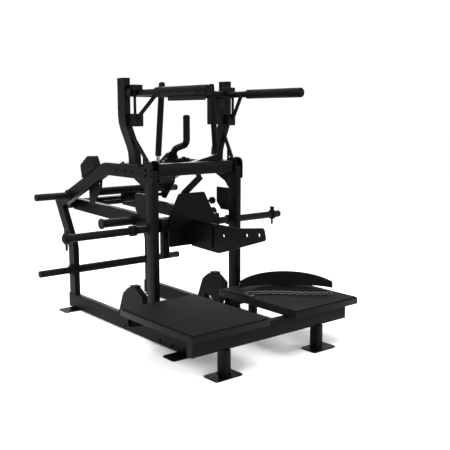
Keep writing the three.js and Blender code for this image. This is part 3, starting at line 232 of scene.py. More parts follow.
# One finish: colour, shine and grain, and what shows where it is rubbed
def finish(name, colour, rough, metal=0.0, specular=0.5, grain=700.0, bump=0.0004, tone=0.3, rub=0.0,
           bare=(0.07, 0.07, 0.072), threads=0.0):
    material = bpy.data.materials.new(name)
    material.use_nodes = True
    tree = material.node_tree
    shader = tree.nodes["Principled BSDF"]
    shader.inputs["Metallic"].default_value = metal
    shader.inputs["Specular IOR Level"].default_value = specular
    surface = add(tree, "ShaderNodeGroup", node_tree=grainGroup)
    for label, value in (("Grain Scale", grain), ("Cloud Scale", 4.0), ("Tone Change", tone)):
        surface.inputs[label].default_value = value
    toned, height = surface.outputs["Tone"], surface.outputs["Height"]
    if threads:
        ownMap = add(tree, "ShaderNodeUVMap")
        weave = add(tree, "ShaderNodeGroup", node_tree=weaveGroup)
        tree.links.new(ownMap.outputs["UV"], weave.inputs["Place"])
        weave.inputs["Threads"].default_value = threads
        toned = sum2(tree, "MULTIPLY", toned, weave.outputs["Tone"])
        height = weave.outputs["Height"]
    base = scaledColour(tree, toned, colour)
    if rub:
        worn = add(tree, "ShaderNodeGroup", node_tree=rubGroup)
        worn.inputs["Amount"].default_value = rub
        worn.inputs["Break Scale"].default_value = 45.0
        mix = add(tree, "ShaderNodeMix", {0: worn.outputs["Mask"], 6: base, 7: (*bare, 1)}, data_type="RGBA")
        base = mix.outputs[2]
    tree.links.new(base, shader.inputs["Base Color"])
    tree.links.new(between(tree, surface.outputs["Gloss"], *rough), shader.inputs["Roughness"])
    relief = add(tree, "ShaderNodeBump", {"Height": height, "Strength": 0.35, "Distance": bump})
    tree.links.new(relief.outputs["Normal"], shader.inputs["Normal"])
    return material


blackCoat = finish("blackCoat", (0.0016, 0.0016, 0.0017), (0.30, 0.46),
                   specular=0.055, grain=650, tone=0.5, rub=0.3)
satinCoat = finish("satinCoat", (0.0028, 0.0028, 0.0030), (0.34, 0.50),
                   specular=0.075, grain=800, tone=0.5, rub=0.25)
gripRubber = finish("gripRubber", (0.0017, 0.0017, 0.0018), (0.38, 0.55),
                    specular=0.05, grain=420, bump=0.0006, tone=0.4)
treadRubber = finish("treadRubber", (0.0030, 0.0030, 0.0031), (0.55, 0.75),
                     specular=0.055, grain=300, bump=0.0008, tone=0.45)
brightSteel = finish("brightSteel", (0.20, 0.20, 0.205), (0.26, 0.42), metal=1.0, grain=500, bump=0.0002, tone=0.2)
darkSteel = finish("darkSteel", (0.018, 0.018, 0.019), (0.3, 0.48), metal=1.0, grain=500, bump=0.0002, tone=0.35)
# a lighter steel for the sloping sheet's top: partly bare steel, partly a painted highlight from the top light
bareSteelAndSheen = finish("bareSteelAndSheen", (0.075, 0.075, 0.077), (0.36, 0.5), metal=1.0, grain=420, bump=0.0003, tone=0.4)
chainSteel = finish("chainSteel", (0.085, 0.085, 0.088), (0.28, 0.42), metal=1.0, grain=500, bump=0.0002, tone=0.35)
bronzeMetal = finish("bronzeMetal", (0.42, 0.29, 0.14), (0.3, 0.45), metal=1.0, grain=600, bump=0.0002, tone=0.3)
weldBead = finish("weldBead", (0.0020, 0.0020, 0.0022), (0.32, 0.48),
                  specular=0.07, grain=400, bump=0.0005, tone=0.4)
beltCloth = finish("beltCloth", (0.0062, 0.0058, 0.0060), (0.7, 0.85),
                   specular=0.06, bump=0.0006, tone=0.35, threads=420.0)
seamThread = finish("seamThread", (0.022, 0.021, 0.021), (0.5, 0.7),
                    specular=0.12, grain=1500, bump=0.0002, tone=0.3)

slotFinish = {
    "black_coat": blackCoat, "satin_coat": satinCoat, "black_rubber": gripRubber, "tread_rubber": treadRubber,
    "bright_steel": brightSteel, "dark_steel": darkSteel, "bronze": bronzeMetal, "black_webbing": beltCloth,
}
slotOf = {entry["node"]: entry["material_slot"] for entry in frame["record"]["subparts"]}
bodyOf = {node: body for body, members in frame["record"]["behaviour"]["bodies"].items() for node in members}
print("finishes made:", len(bpy.data.materials))


# What every new piece gets: its finish, its body and, where it stands for one, its node
def settle(piece, body, material=None, node=None):
    if material is not None:
        piece.data.materials.clear()
        piece.data.materials.append(material)
    if node:
        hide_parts(node)
    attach(piece, body)
    return piece


def meshPiece(name, points, faces, smooth=True, angle=40):
    mesh = bpy.data.meshes.new(name)
    mesh.from_pydata([tuple(p) for p in points], [], faces)
    work = bmesh.new()
    work.from_mesh(mesh)
    bmesh.ops.remove_doubles(work, verts=work.verts, dist=1e-6)
    bmesh.ops.recalc_face_normals(work, faces=work.faces)
    work.to_mesh(mesh)
    work.free()
    if smooth:
        mesh.polygons.foreach_set("use_smooth", [True] * len(mesh.polygons))
        mesh.set_sharp_from_angle(angle=math.radians(angle))
    return link(bpy.data.objects.new(name, mesh))


# Tubes with softened corners: a copy of the node with its edges rounded
def rounded(node, edge=1.5, angle=40):
    source = nodes[node].data
    mesh = bpy.data.meshes.new(node + "Skin")
    mesh.from_pydata([v.co for v in source.vertices], [], [p.vertices for p in source.polygons])
    work = bmesh.new()
    work.from_mesh(mesh)
    bmesh.ops.remove_doubles(work, verts=work.verts, dist=2e-6)
    bmesh.ops.dissolve_limit(work, angle_limit=math.radians(0.4), verts=work.verts, edges=work.edges)
    work.to_mesh(mesh)
    work.free()
    mesh.polygons.foreach_set("use_smooth", [True] * len(mesh.polygons))
    mesh.set_sharp_from_angle(angle=math.radians(angle))
    piece = link(bpy.data.objects.new(node + "Skin", mesh))
    bevel = piece.modifiers.new("edges", "BEVEL")
    bevel.width = edge / 1000
    bevel.segments = 2
    bevel.limit_method = "ANGLE"
    bevel.angle_limit = math.radians(angle)
    bevel.harden_normals = True
    return settle(piece, bodyOf[node], slotFinish[slotOf[node]], node)


def repaint(piece, material, wanted):
    # faces that the test picks get a second finish
    piece.data.materials.append(material)
    for face in piece.data.polygons:
        if wanted(face.center, face.normal):
            face.material_index = len(piece.data.materials) - 1


# Turned pieces: the profile is [radius, distance along] in millimetres from one place towards another
def turned(name, profile, start, end, sides=48):
    start, end = spot(*start), spot(*end)
    turn = Vector((0, 0, 1)).rotation_difference(end - start).to_matrix().to_4x4()
    place = Matrix.Translation(start) @ turn
    points, faces, rows = [], [], []
    for radius, along in profile:
        if radius == 0:
            rows.append([len(points)] * sides)
            points.append(place @ Vector((0, 0, along / 1000)))
            continue
        rows.append(list(range(len(points), len(points) + sides)))
        for k in range(sides):
            angle = 2 * math.pi * k / sides
            across = Vector((math.cos(angle), math.sin(angle), 0)) * radius / 1000
            points.append(place @ (across + Vector((0, 0, along / 1000))))
    for near, far in zip(rows, rows[1:]):
        for k in range(sides):
            ring = [near[k], near[(k + 1) % sides], far[(k + 1) % sides], far[k]]
            face = list(dict.fromkeys(ring))
            if len(face) > 2:
                faces.append(face)
    return meshPiece(name, points, faces)


def roundedEnd(radius, length, edge, steps=5):
    turns = [math.pi / 2 * k / steps for k in range(steps + 1)]
    return [(radius - edge + edge * math.cos(a), length - edge + edge * math.sin(a)) for a in turns]


def ringGrooves(radius, first, count, pitch, deep):
    points = []
    for k in range(count):
        at = first + k * pitch
        points += [(radius, at), (radius - deep, at + pitch * 0.15), (radius - deep, at + pitch * 0.4),
                   (radius, at + pitch * 0.55)]
    return points


# Round pieces of the machine, smooth where the frame's own are faceted
machine = {
    "frameHalf": 338.5, "frameInner": 316, "frameOuter": 361, "sleeveHalf": 890, "topRailTop": 1131,
    "topRailUnder": 1046,
    "leverOuter": 240, "handleZ": 1585, "armX": 362, "footTop": 8, "railTop": 113,
}
handleBar = {"radius": 25, "half": 426, "y": 969.2, "edge": 2}
turnedNodes = set()


def standIn(node, profile, start, end):
    piece = turned(node + "Turned", profile, start, end)
    turnedNodes.add(node)
    return settle(piece, bodyOf[node], slotFinish[slotOf[node]], node)


def plainRod(radius, length, edge=2):
    return [(0, 0), (radius - edge, 0), (radius, edge), (radius, length - edge), (radius - edge, length), (0, length)]


handSign = {"left": -1, "right": 1}    # which way each hand lies along X
standIn("handle_crossbar", plainRod(handleBar["radius"], 2 * handleBar["half"], handleBar["edge"]),
        (-handleBar["half"], handleBar["y"], machine["handleZ"]),
        (handleBar["half"], handleBar["y"], machine["handleZ"]))

armGrip = {"radius": 30, "backY": 740, "tipY": 240, "edge": 10, "bore": 21.3, "groove": 1.2, "pitch": 9, "grooves": 7}
for side, sign in handSign.items():
    length = armGrip["backY"] - armGrip["tipY"]
    grooved = ringGrooves(armGrip["radius"], 14, armGrip["grooves"], armGrip["pitch"], armGrip["groove"])
    farGrooves = ringGrooves(
        armGrip["radius"], length - 34 - armGrip["grooves"] * armGrip["pitch"], armGrip["grooves"], armGrip["pitch"],
        armGrip["groove"])
    profile = [(armGrip["bore"], 0), (armGrip["radius"] - 2, 0), (armGrip["radius"], 2), *grooved, *farGrooves,
               *roundedEnd(armGrip["radius"], length, armGrip["edge"]), (0, length)]
    standIn(f"handle_grip_{side}", profile, (sign * machine["armX"], armGrip["backY"], machine["handleZ"]),
            (sign * machine["armX"], armGrip["tipY"], machine["handleZ"]))

gripRod = {"y": 923, "footX": 241, "topX": 198, "footZ": 1118, "topZ": 1655, "core": 11, "sleeve": 20,
           "sleeveZ": 1190,
           "edge": 14, "nutRadius": 17, "nutHigh": 9}
for side, sign in handSign.items():
    foot = Vector((sign * gripRod["footX"], gripRod["y"], gripRod["footZ"]))
    top = Vector((sign * gripRod["topX"], gripRod["y"], gripRod["topZ"]))
    start = foot.lerp(top, (gripRod["sleeveZ"] - gripRod["footZ"]) / (gripRod["topZ"] - gripRod["footZ"]))
    length = (top - start).length
    grooved = ringGrooves(gripRod["sleeve"], 8, 5, 8, 1.0)
    profile = [(gripRod["core"] + 0.3, 0), (gripRod["sleeve"] - 2, 0), (gripRod["sleeve"], 2), *grooved,
               *roundedEnd(gripRod["sleeve"], length, gripRod["edge"]), (0, length)]
    standIn(f"rod_grip_{side}", profile, start, top)
    rise = (start - foot).normalized()
    standIn(f"grip_rod_{side}", plainRod(gripRod["core"], (start - foot).length + 20, 1), foot + rise * 0.5, top)
    wide, high = gripRod["nutRadius"], gripRod["nutHigh"]
    nutSide = [(gripRod["core"], 0), (wide, 0), (wide, high - 2), (wide - 2, high), (gripRod["core"], high)]
    nut = turned(f"rodNut_{side}", nutSide, foot + rise * 0.4, top, 6)
    settle(nut, "frame", darkSteel)

lowerBar = {"y": 1912.5, "z": 297, "radius": 30}
standIn("lower_rear_crossbar", plainRod(lowerBar["radius"], 2 * machine["frameInner"], 0.5),
        (-machine["frameInner"], lowerBar["y"], lowerBar["z"]), (machine["frameInner"], lowerBar["y"], lowerBar["z"]))

pivot = {"y": 2083, "z": 775, "axle": 15, "axleHalf": 311.7}
standIn("lever_axle", plainRod(pivot["axle"], 2 * pivot["axleHalf"], 1),
        (-pivot["axleHalf"], pivot["y"], pivot["z"]), (pivot["axleHalf"], pivot["y"], pivot["z"]))

loading = {"y": 979, "z": 715, "radius": 25, "flangeStart": 140, "flangeEnd": 182, "flange": 35, "edge": 6,
           "slim": 0.3, "dish": 2.5}    # slim leaves the lock collars room to slide
dishOuter, dishInner = 0.62, 0.58    # a peg's end is dished between these shares of its radius
for side, sign in handSign.items():
    length = machine["sleeveHalf"] - machine["leverOuter"]
    r, f = loading["radius"] - loading["slim"], loading["flange"]
    profile = [(0, 0), (r, 0), (r, loading["flangeStart"]), (f - 2, loading["flangeStart"]),
               (f, loading["flangeStart"] + 2),
               (f, loading["flangeEnd"] - 2), (f - 2, loading["flangeEnd"]), (r, loading["flangeEnd"]),
               (r, length - 30), (r - 1, length - 29), (r - 1, length - 26), (r, length - 25),
               *roundedEnd(r, length, loading["edge"]), (r * dishOuter, length),
               (r * dishInner, length - loading["dish"]),
               (0, length - loading["dish"])]
    standIn(f"loading_peg_{side}", profile, (sign * machine["leverOuter"], loading["y"], loading["z"]),
            (sign * machine["sleeveHalf"], loading["y"], loading["z"]))

# Storage pegs and horns belong to larger nodes, so a smooth sleeve stands just over each
cover = {"proud": 0.35}
storage = {"radius": 25, "flange": 42, "flangeThick": 12, "edge": 7, "tipX": 623, "dish": 0.2,
           "places": [(1928, 858.6), (1912.5, 297)]}
for side, sign in handSign.items():
    for level, (y, z) in zip(("upper", "lower"), storage["places"]):
        r, length = storage["radius"] + cover["proud"], storage["tipX"] - machine["frameOuter"] + cover["proud"]
        flange, thick = storage["flange"] + cover["proud"], storage["flangeThick"] + cover["proud"]
        profile = [(0, 0.1), (flange, 0.1), (flange, thick - 2), (flange - 2, thick), (r, thick),
                   (r, length - 30), (r - 0.8, length - 29), (r - 0.8, length - 26), (r, length - 25),
                   *roundedEnd(r, length, storage["edge"]), (r * dishOuter, length),
                   (r * dishInner, length - storage["dish"]), (0, length - storage["dish"])]
        peg = turned(f"storagePeg_{level}_{side}", profile, (sign * machine["frameOuter"], y, z),
                     (sign * storage["tipX"], y, z))
        settle(peg, "frame", satinCoat)

horn = {"y": 1250, "z": 735, "radius": 28.5, "length": 240, "collar": 36, "collarThick": 12}
for side, sign in handSign.items():
    r, c = horn["radius"] + cover["proud"], horn["collar"] + cover["proud"]
    neck, end = horn["length"] - horn["collarThick"] - cover["proud"], horn["length"] + cover["proud"]
    profile = [(0, 0.1), (r, 0.1), (r, neck), (c - 2, neck), (c, neck + 2), (c, end - 2), (c - 2, end),
               (c * 0.5, end),
               (c * 0.46, end - 0.2), (0, end - 0.2)]
    cap = turned(f"hornSleeve_{side}", profile, (sign * machine["leverOuter"], horn["y"], horn["z"]),
                 (sign * (machine["leverOuter"] + horn["length"]), horn["y"], horn["z"]))
    settle(cap, "lever", satinCoat)
print("turned pieces made:", len(turnedNodes) + 8)


# Everything else keeps its own shape, with its edges rounded
edgeOf = {"front_beam": 2.0, "deck_tray_left": 1.2, "deck_tray_right": 1.2, "front_crossbar": 0.8, "tie_sheet": 0.8,
          "deck_mat_left": 1.5, "deck_mat_right": 1.5, "lockout_hook": 0.8, "lockout_hook_toe": 0.8}
softNodes = {"squat_belt", "belt_chain"}
skins = {}
for node in sorted(set(nodes) - turnedNodes - softNodes):
    skins[node] = rounded(node, edgeOf.get(node, 1.5))
slopeTop = {"above": 1.121, "behind": spot(0, 876, 0).y}
sleeveFoot = 1.285    # where the lockout's rubber sleeve begins
# the sloping sheet's upward faces get the lighter steel: bare steel there, plus a painted highlight where the top
# light falls
repaint(skins["front_crossbar"], bareSteelAndSheen,
        lambda centre, normal: centre.z > slopeTop["above"] and centre.y > slopeTop["behind"] and normal.z > 0.5)
repaint(skins["lockout_handle"], gripRubber, lambda centre, normal: centre.z > sleeveFoot)
padDeep = 0.009    # how far the stands' rubber pads reach down
for side in handSign:
    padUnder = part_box(f"bumper_stand_{side}")[1][2] - padDeep
    repaint(skins[f"bumper_stand_{side}"], gripRubber, lambda centre, normal: centre.z > padUnder)
print("pieces with rounded edges:", len(skins))


# Geometry Nodes: a tree grows its pieces on a mesh of places, and the plain result is kept
def grown(name, tree, places, body, material, sizes):
    holder = link(bpy.data.objects.new(name + "Places", places))
    modifier = holder.modifiers.new("grow", "NODES")
    modifier.node_group = tree
    sockets = {item.name: item.identifier for item in tree.interface.items_tree if item.in_out == "INPUT"}
    modifier[sockets["Finish"]] = material
    for label, value in sizes.items():
        modifier[sockets[label]] = value
    result = bpy.data.meshes.new_from_object(holder.evaluated_get(bpy.context.evaluated_depsgraph_get()))
    bpy.data.objects.remove(holder)
    result.name = name
    piece = link(bpy.data.objects.new(name, result))
    return settle(piece, body)


def growingTree(name, sizes):
    named = [(label, "NodeSocketFloat", value) for label, value in sizes.items()]
    inputs = [("Places", "NodeSocketGeometry", None), *named, ("Finish", "NodeSocketMaterial", None)]
    return newTree(name, "GeometryNodeTree", inputs, [("Grown", "NodeSocketGeometry")])


def endTree(tree, given, out, instances):
    real = add(tree, "GeometryNodeRealizeInstances", {"Geometry": instances})
    painted = add(tree, "GeometryNodeSetMaterial", {"Geometry": real.outputs[0], "Material": given["Finish"]})
    tree.links.new(painted.outputs[0], out["Grown"])
    return tree


def half(tree, value, factor=0.5):
    return sum2(tree, "MULTIPLY", value, factor)


def upwards(tree, geometry, height):
    place = add(tree, "ShaderNodeCombineXYZ", {"Z": height})
    return add(tree, "GeometryNodeTransform", {"Geometry": geometry, "Translation": place.outputs[0]}).outputs[0]


def makeBoltTree():
    # a washer, a chamfered hexagon and the bolt's own end, turned at random about the bolt's line
    tree, given, out = growingTree("hexBolts", {
        "Washer Radius": 0.0125, "Washer Thick": 0.0018, "Head Radius": 0.0098, "Head Height": 0.0062,
        "Chamfer": 0.0012,
        "Shank Radius": 0.0052})
    washer = add(tree, "GeometryNodeMeshCylinder", {
        "Vertices": 20, "Radius": given["Washer Radius"], "Depth": given["Washer Thick"]})
    head = add(tree, "GeometryNodeMeshCylinder", {
        "Vertices": 6, "Radius": given["Head Radius"], "Depth": given["Head Height"]})
    slopeRing = add(tree, "GeometryNodeMeshCone", {
        "Vertices": 6, "Radius Bottom": given["Head Radius"], "Radius Top": half(tree, given["Head Radius"], 0.84),
        "Depth": given["Chamfer"]})
    shank = add(tree, "GeometryNodeMeshCylinder", {
        "Vertices": 12, "Radius": given["Shank Radius"], "Depth": half(tree, given["Head Height"], 0.8)})
    washerTop = given["Washer Thick"]
    headTop = sum2(tree, "ADD", washerTop, given["Head Height"])
    joined = tree.nodes.new("GeometryNodeJoinGeometry")
    for geometry, height in (
            (washer.outputs["Mesh"], half(tree, given["Washer Thick"])),
            (head.outputs["Mesh"], sum2(tree, "ADD", washerTop, half(tree, given["Head Height"]))),
            (slopeRing.outputs["Mesh"], headTop),
            (shank.outputs["Mesh"], headTop)):
        tree.links.new(upwards(tree, geometry, height), joined.inputs[0])
    aim = add(tree, "GeometryNodeInputNamedAttribute", {"Name": "aim"}, data_type="FLOAT_VECTOR")
    size = add(tree, "GeometryNodeInputNamedAttribute", {"Name": "size"}, data_type="FLOAT")
    facing = add(tree, "FunctionNodeAlignRotationToVector", {"Vector": aim.outputs[0]}, axis="Z")
    chance = add(tree, "FunctionNodeRandomValue", {"Seed": 7}, data_type="FLOAT")
    chance.inputs[3].default_value = math.pi / 3
    spin = add(tree, "ShaderNodeCombineXYZ", {"Z": chance.outputs[1]})
    turn = add(tree, "FunctionNodeEulerToRotation", {0: spin.outputs[0]})
    spun = add(tree, "FunctionNodeRotateRotation", {
        "Rotation": facing.outputs[0], "Rotate By": turn.outputs[0]}, rotation_space="LOCAL")
    bolts = add(tree, "GeometryNodeInstanceOnPoints", {
        "Points": given["Places"], "Instance": joined.outputs[0], "Rotation": spun.outputs[0],
        "Scale": size.outputs[0]})
    return endTree(tree, given, out, bolts.outputs[0])


def pointPlaces(name, places, **columns):
    mesh = bpy.data.meshes.new(name)
    mesh.from_pydata([tuple(spot(*place)) for place in places], [], [])
    for label, values in columns.items():
        vector = hasattr(values[0], "__len__")
        column = mesh.attributes.new(label, "FLOAT_VECTOR" if vector else "FLOAT", "POINT")
        for item, value in zip(column.data, values):
            if vector:
                item.vector = value
            else:
                item.value = value
    return mesh


def linePlaces(name, lines):
    # each line is a list of places, closed where it ends on its first place
    points, edges = [], []
    for line in lines:
        first = len(points)
        closed = (Vector(line[0]) - Vector(line[-1])).length < 0.01
        kept = line[:-1] if closed else line
        points += [tuple(spot(*place)) for place in kept]
        edges += [(first + i, first + i + 1) for i in range(len(kept) - 1)]
        if closed:
            edges.append((first + len(kept) - 1, first))
    mesh = bpy.data.meshes.new(name)
    mesh.from_pydata(points, edges, [])
    return mesh


boltTree = makeBoltTree()
boltRows = {"frame": [], "lever": []}


def bolt(body, place, aim, size=1.0):
    boltRows[body].append((place, aim, size))


cornerBolts = {"ys": (818, 878), "zs": (1072, 1108), "outer": 369}
flangeBolts = {"inset": 32, "ys": (952, 1132), "z": 1141}
bracketBolts = {"y": 957, "zs": (1396, 1440), "outer": 407}
bearingBolts = {"radius": 37, "x": 308, "size": 0.45}
for sign in handSign.values():
    out, inward = (sign, 0, 0), (-sign, 0, 0)
    for y in cornerBolts["ys"]:
        for z in cornerBolts["zs"]:
            bolt("frame", (sign * cornerBolts["outer"], y, z), out, 0.9)
    for y in flangeBolts["ys"]:
        for x in (-flangeBolts["inset"], flangeBolts["inset"]):
            bolt("frame", (sign * machine["frameHalf"] + x, y, flangeBolts["z"]), (0, 0, 1), 0.9)
    for z in bracketBolts["zs"]:
        bolt("frame", (sign * bracketBolts["outer"], bracketBolts["y"], z), out, 0.8)
    for k in range(4):
        angle = math.pi / 4 + k * math.pi / 2
        place = (sign * bearingBolts["x"], pivot["y"] + bearingBolts["radius"] * math.cos(angle),
                 pivot["z"] + bearingBolts["radius"] * math.sin(angle))
        bolt("frame", place, inward, bearingBolts["size"])
for body, rows in boltRows.items():
    if rows:
        at, aims, scales = zip(*rows)
        places = pointPlaces(body + "BoltPlaces", at, aim=aims, size=scales)
        grown(body + "Bolts", boltTree, places, body, darkSteel, {})
print("bolts placed:", sum(len(rows) for rows in boltRows.values()))


def makeWeldTree():
    # overlapping ripples laid along each line
    tree, given, out = growingTree("weldBeads", {"Pitch": 0.0034, "Wide": 0.0058, "Long": 0.0062})
    curve = add(tree, "GeometryNodeMeshToCurve", {"Mesh": given["Places"]})
    steps = add(tree, "GeometryNodeResampleCurve", {
        "Curve": curve.outputs[0], "Length": given["Pitch"]}, mode="LENGTH")
    ripple = add(tree, "GeometryNodeMeshUVSphere", {"Segments": 8, "Rings": 5, "Radius": 0.5})
    shape = add(tree, "ShaderNodeCombineXYZ", {"X": given["Long"], "Y": given["Wide"], "Z": given["Wide"]})
    shaped = add(tree, "GeometryNodeTransform", {"Geometry": ripple.outputs["Mesh"], "Scale": shape.outputs[0]})
    tangent = add(tree, "GeometryNodeInputTangent").outputs[0]
    along = add(tree, "FunctionNodeAlignRotationToVector", {"Vector": tangent}, axis="X")
    chance = add(tree, "FunctionNodeRandomValue", {"Seed": 11}, data_type="FLOAT")
    chance.inputs[2].default_value, chance.inputs[3].default_value = 0.88, 1.1
    beads = add(tree, "GeometryNodeInstanceOnPoints", {
        "Points": steps.outputs[0], "Instance": shaped.outputs[0], "Rotation": along.outputs[0],
        "Scale": chance.outputs[1]})
    smooth = add(tree, "GeometryNodeSetShadeSmooth", {"Geometry": beads.outputs[0]})
    return endTree(tree, given, out, smooth.outputs[0])


def aroundBox(low, high, z):
    (left, front), (right, back) = low, high
    return [(left, front, z), (right, front, z), (right, back, z), (left, back, z), (left, front, z)]


def aroundTube(x, ys, zs):
    return [(x, ys[0], zs[0]), (x, ys[1], zs[0]), (x, ys[1], zs[1]), (x, ys[0], zs[1]), (x, ys[0], zs[0])]


def aroundBar(x, y, z, radius, steps=24):
    turns = [2 * math.pi * k / steps for k in range(steps)] + [0]
    return [(x, y + radius * math.cos(a), z + radius * math.sin(a)) for a in turns]


weldTree = makeWeldTree()
weldAt = {
    "frontPost": (801, 886), "rearPost": (1870, 1955), "upright": (994.5, 1079.5), "flangeOver": 10,
    "leg": {"x": 374, "half": 24, "ys": (56, 126)}, "lockoutBar": {"ys": (1080, 1130), "top": 1096},
    "upperBar": {"x": 307.5, "y": 1628, "z": 906, "radius": 29}, "gusset": {"out": 6, "y": 886, "under": 795},
    "nosePlate": {"x": 16, "y": 881, "zs": (602, 740)}, "shelf": {"half": 262, "y": 875, "z": 1118},
    "dropLeg": {"low": (-125, 1033), "high": (-75, 1083), "z": 500}, "proud": 0.5,
}
weldLines = {"frame": [], "lever": []}
for sign in handSign.values():
    inner, outer = sorted((sign * machine["frameInner"], sign * machine["frameOuter"]))
    leg, cross, upper = weldAt["leg"], weldAt["lockoutBar"], weldAt["upperBar"]
    gusset, nose, proud = weldAt["gusset"], weldAt["nosePlate"], weldAt["proud"]
    for name, z in (("frontPost", machine["railTop"]), ("rearPost", machine["railTop"]),
                    ("upright", machine["topRailTop"] + weldAt["flangeOver"])):
        near, far = weldAt[name]
        weldLines["frame"].append(aroundBox((inner, near), (outer, far), z))
    weldLines["frame"] += [
        aroundBox((sign * leg["x"] - leg["half"], leg["ys"][0]), (sign * leg["x"] + leg["half"], leg["ys"][1]),
                  machine["footTop"]),
        aroundTube(sign * machine["frameInner"], cross["ys"], (machine["topRailUnder"], cross["top"])),
        aroundBar(sign * (machine["frameInner"] - proud), lowerBar["y"], lowerBar["z"], lowerBar["radius"]),
        aroundBar(sign * upper["x"], upper["y"], upper["z"], upper["radius"]),
    ]
    for out in (gusset["out"], -gusset["out"]):
        x = sign * machine["frameHalf"] + out
        weldLines["frame"].append([(x, gusset["y"], gusset["under"]), (x, gusset["y"], machine["topRailUnder"])])
    for y, z in storage["places"]:
        root = machine["frameOuter"] + proud
        weldLines["frame"].append(aroundBar(sign * root, y, z, storage["flange"]))
        weldLines["frame"].append(aroundBar(sign * (root + storage["flangeThick"]), y, z, storage["radius"]))
    for bar in (horn, loading):
        root = sign * (machine["leverOuter"] + proud)
        weldLines["lever"].append(aroundBar(root, bar["y"], bar["z"], bar["radius"]))
    weldLines["lever"].append([(sign * nose["x"], nose["y"], z) for z in nose["zs"]])
shelf, dropLeg = weldAt["shelf"], weldAt["dropLeg"]
weldLines["frame"].append([(x, shelf["y"], shelf["z"]) for x in (-shelf["half"], shelf["half"])])
weldLines["lever"].append(aroundBox(dropLeg["low"], dropLeg["high"], dropLeg["z"]))
for body, lines in weldLines.items():
    grown(body + "Welds", weldTree, linePlaces(body + "WeldLines", lines), body, weldBead, {})
print("weld lines laid:", sum(len(lines) for lines in weldLines.values()))


# The padded belt: a crowned form in an arch, with sewn channels, wrinkles and bound edges
belt = {
    "x": 312, "y": 288, "radius": 326, "facing": math.radians(50.5), "halfTurn": math.radians(67.6), "under": 303.5,
    "thick": 14, "high": 95, "endHigh": 42, "channels": (0.22, 0.5, 0.78), "channelDeep": 1.7, "cross": 9,
    "long": 280, "round": 14,
}


def beltPlace(share, level, depth):
    # share runs -1..1 along the belt, level 0..1 up it, depth from its middle outwards in millimetres
    angle = belt["facing"] + share * belt["halfTurn"]
    lift = (belt["high"] - belt["endHigh"]) * (1 - math.cos(share * math.pi / 2)) / 2
    low, high = belt["under"] + lift, belt["under"] + belt["high"] - lift - 0.4
    radius = belt["radius"] + depth
    return belt["x"] + radius * math.cos(angle), belt["y"] + radius * math.sin(angle), low + (high - low) * level


def beltFull(share, level, side):
    # half the belt's thickness: full between the seams, drawn in at each of them and at the edges
    edge = min(level, 1 - level)
    full = math.sqrt(max(0.0, 1 - (1 - min(edge / 0.16, 1)) ** 2))
    end = math.sqrt(max(0.0, 1 - (1 - min((1 - abs(share)) / 0.05, 1)) ** 2))
    seam = sum(math.exp(-((level - channel) / 0.028) ** 2) for channel in belt["channels"])
    fromCross = (share + 1) / 2 * belt["cross"] % 1 - 0.5
    across = math.exp(-(fromCross / 0.028) ** 2) * (0.75 if abs(share) < 0.9 else 0)
    where = Vector((share * 9, level * 2.2, side * 3.0))
    wrinkle = noise.noise(where * 1.4) * 0.35 + noise.noise(where * 3.7) * 0.22
    base = 2.1 + (belt["thick"] / 2 - 2.6) * full * (0.35 + 0.65 * end)
    swell = base - belt["channelDeep"] * seam * full - 1.1 * across * full + wrinkle * full
    return max(1.4, min(belt["thick"] / 2 - 0.25, swell))


points, faces, mapped = [], [], []
long, ring = belt["long"], belt["round"] * 4
for i in range(long + 1):
    share = -1 + 2 * i / long
    for k in range(ring):
        turn = k / ring
        up = turn * 2 if turn < 0.5 else 2 - turn * 2
        side = 1 if turn < 0.5 else -1
        level = 0.5 - 0.5 * math.cos(math.pi * up)
        closed = 0.0 if up in (0.0, 1.0) else 1.0
        points.append(spot(*beltPlace(share, level, side * closed * beltFull(share, level, side))))
        mapped.append((share * belt["halfTurn"] * belt["radius"] / 1000, side * level * belt["high"] / 1000))
for i in range(long):
    for k in range(ring):
        near, far = i * ring, (i + 1) * ring
        nextOne = (k + 1) % ring
        faces.append((near + k, near + nextOne, far + nextOne, far + k))
faces.append(tuple(range(ring)))
faces.append(tuple(range(long * ring, (long + 1) * ring)))
beltPad = meshPiece("beltPad", points, faces, angle=80)


def puffed(piece, held, far, pressure, steps):
    # cloth under pressure swells between the sewn rows, and no point moves farther than the cap
    before = [v.co.copy() for v in piece.data.vertices]
    sewn = piece.vertex_groups.new(name="sewn")
    sewn.add(held, 1.0, "REPLACE")
    cloth = piece.modifiers.new("puff", "CLOTH")
    cloth.settings.vertex_group_mass = "sewn"
    cloth.settings.use_pressure = True
    cloth.settings.uniform_pressure_force = pressure
    cloth.settings.effector_weights.gravity = 0
    cloth.point_cache.frame_start, cloth.point_cache.frame_end = 1, steps
    for step in range(1, steps + 1):
        bpy.context.scene.frame_set(step)
    swollen = piece.evaluated_get(bpy.context.evaluated_depsgraph_get()).to_mesh()
    moves = [after.co - first for after, first in zip(swollen.vertices, before)]
    piece.modifiers.remove(cloth)
    piece.vertex_groups.remove(sewn)
    for vertex, first, move in zip(piece.data.vertices, before, moves):
        vertex.co = first + move * min(1.0, far / max(move.length, 1e-9))
    bpy.context.scene.frame_set(1)
    return max(move.length for move in moves)


puff = {"pressure": 8.0, "steps": 20, "cap": 0.0012, "sewnWide": 0.02, "heldFrom": 0.37}
sewnLevels = (0.0, 0.1, *belt["channels"], 0.9, 1.0)


def isSewn(along, level):
    nearest = min(abs(abs(level) * 1000 / belt["high"] - row) for row in sewnLevels)
    return abs(along) > puff["heldFrom"] or nearest < puff["sewnWide"]


held = [index for index, place in enumerate(mapped) if isSewn(*place)]
swelling = puffed(beltPad, held, puff["cap"], puff["pressure"], puff["steps"])
print("belt swells up to", round(swelling * 1000, 2), "mm before the cap")
layer = beltPad.data.uv_layers.new(name="UVMap")
for loop in beltPad.data.loops:
    layer.data[loop.index].uv = mapped[loop.vertex_index]
settle(beltPad, "frame", beltCloth, "squat_belt")
print("belt sewn:", len(beltPad.data.polygons), "faces")


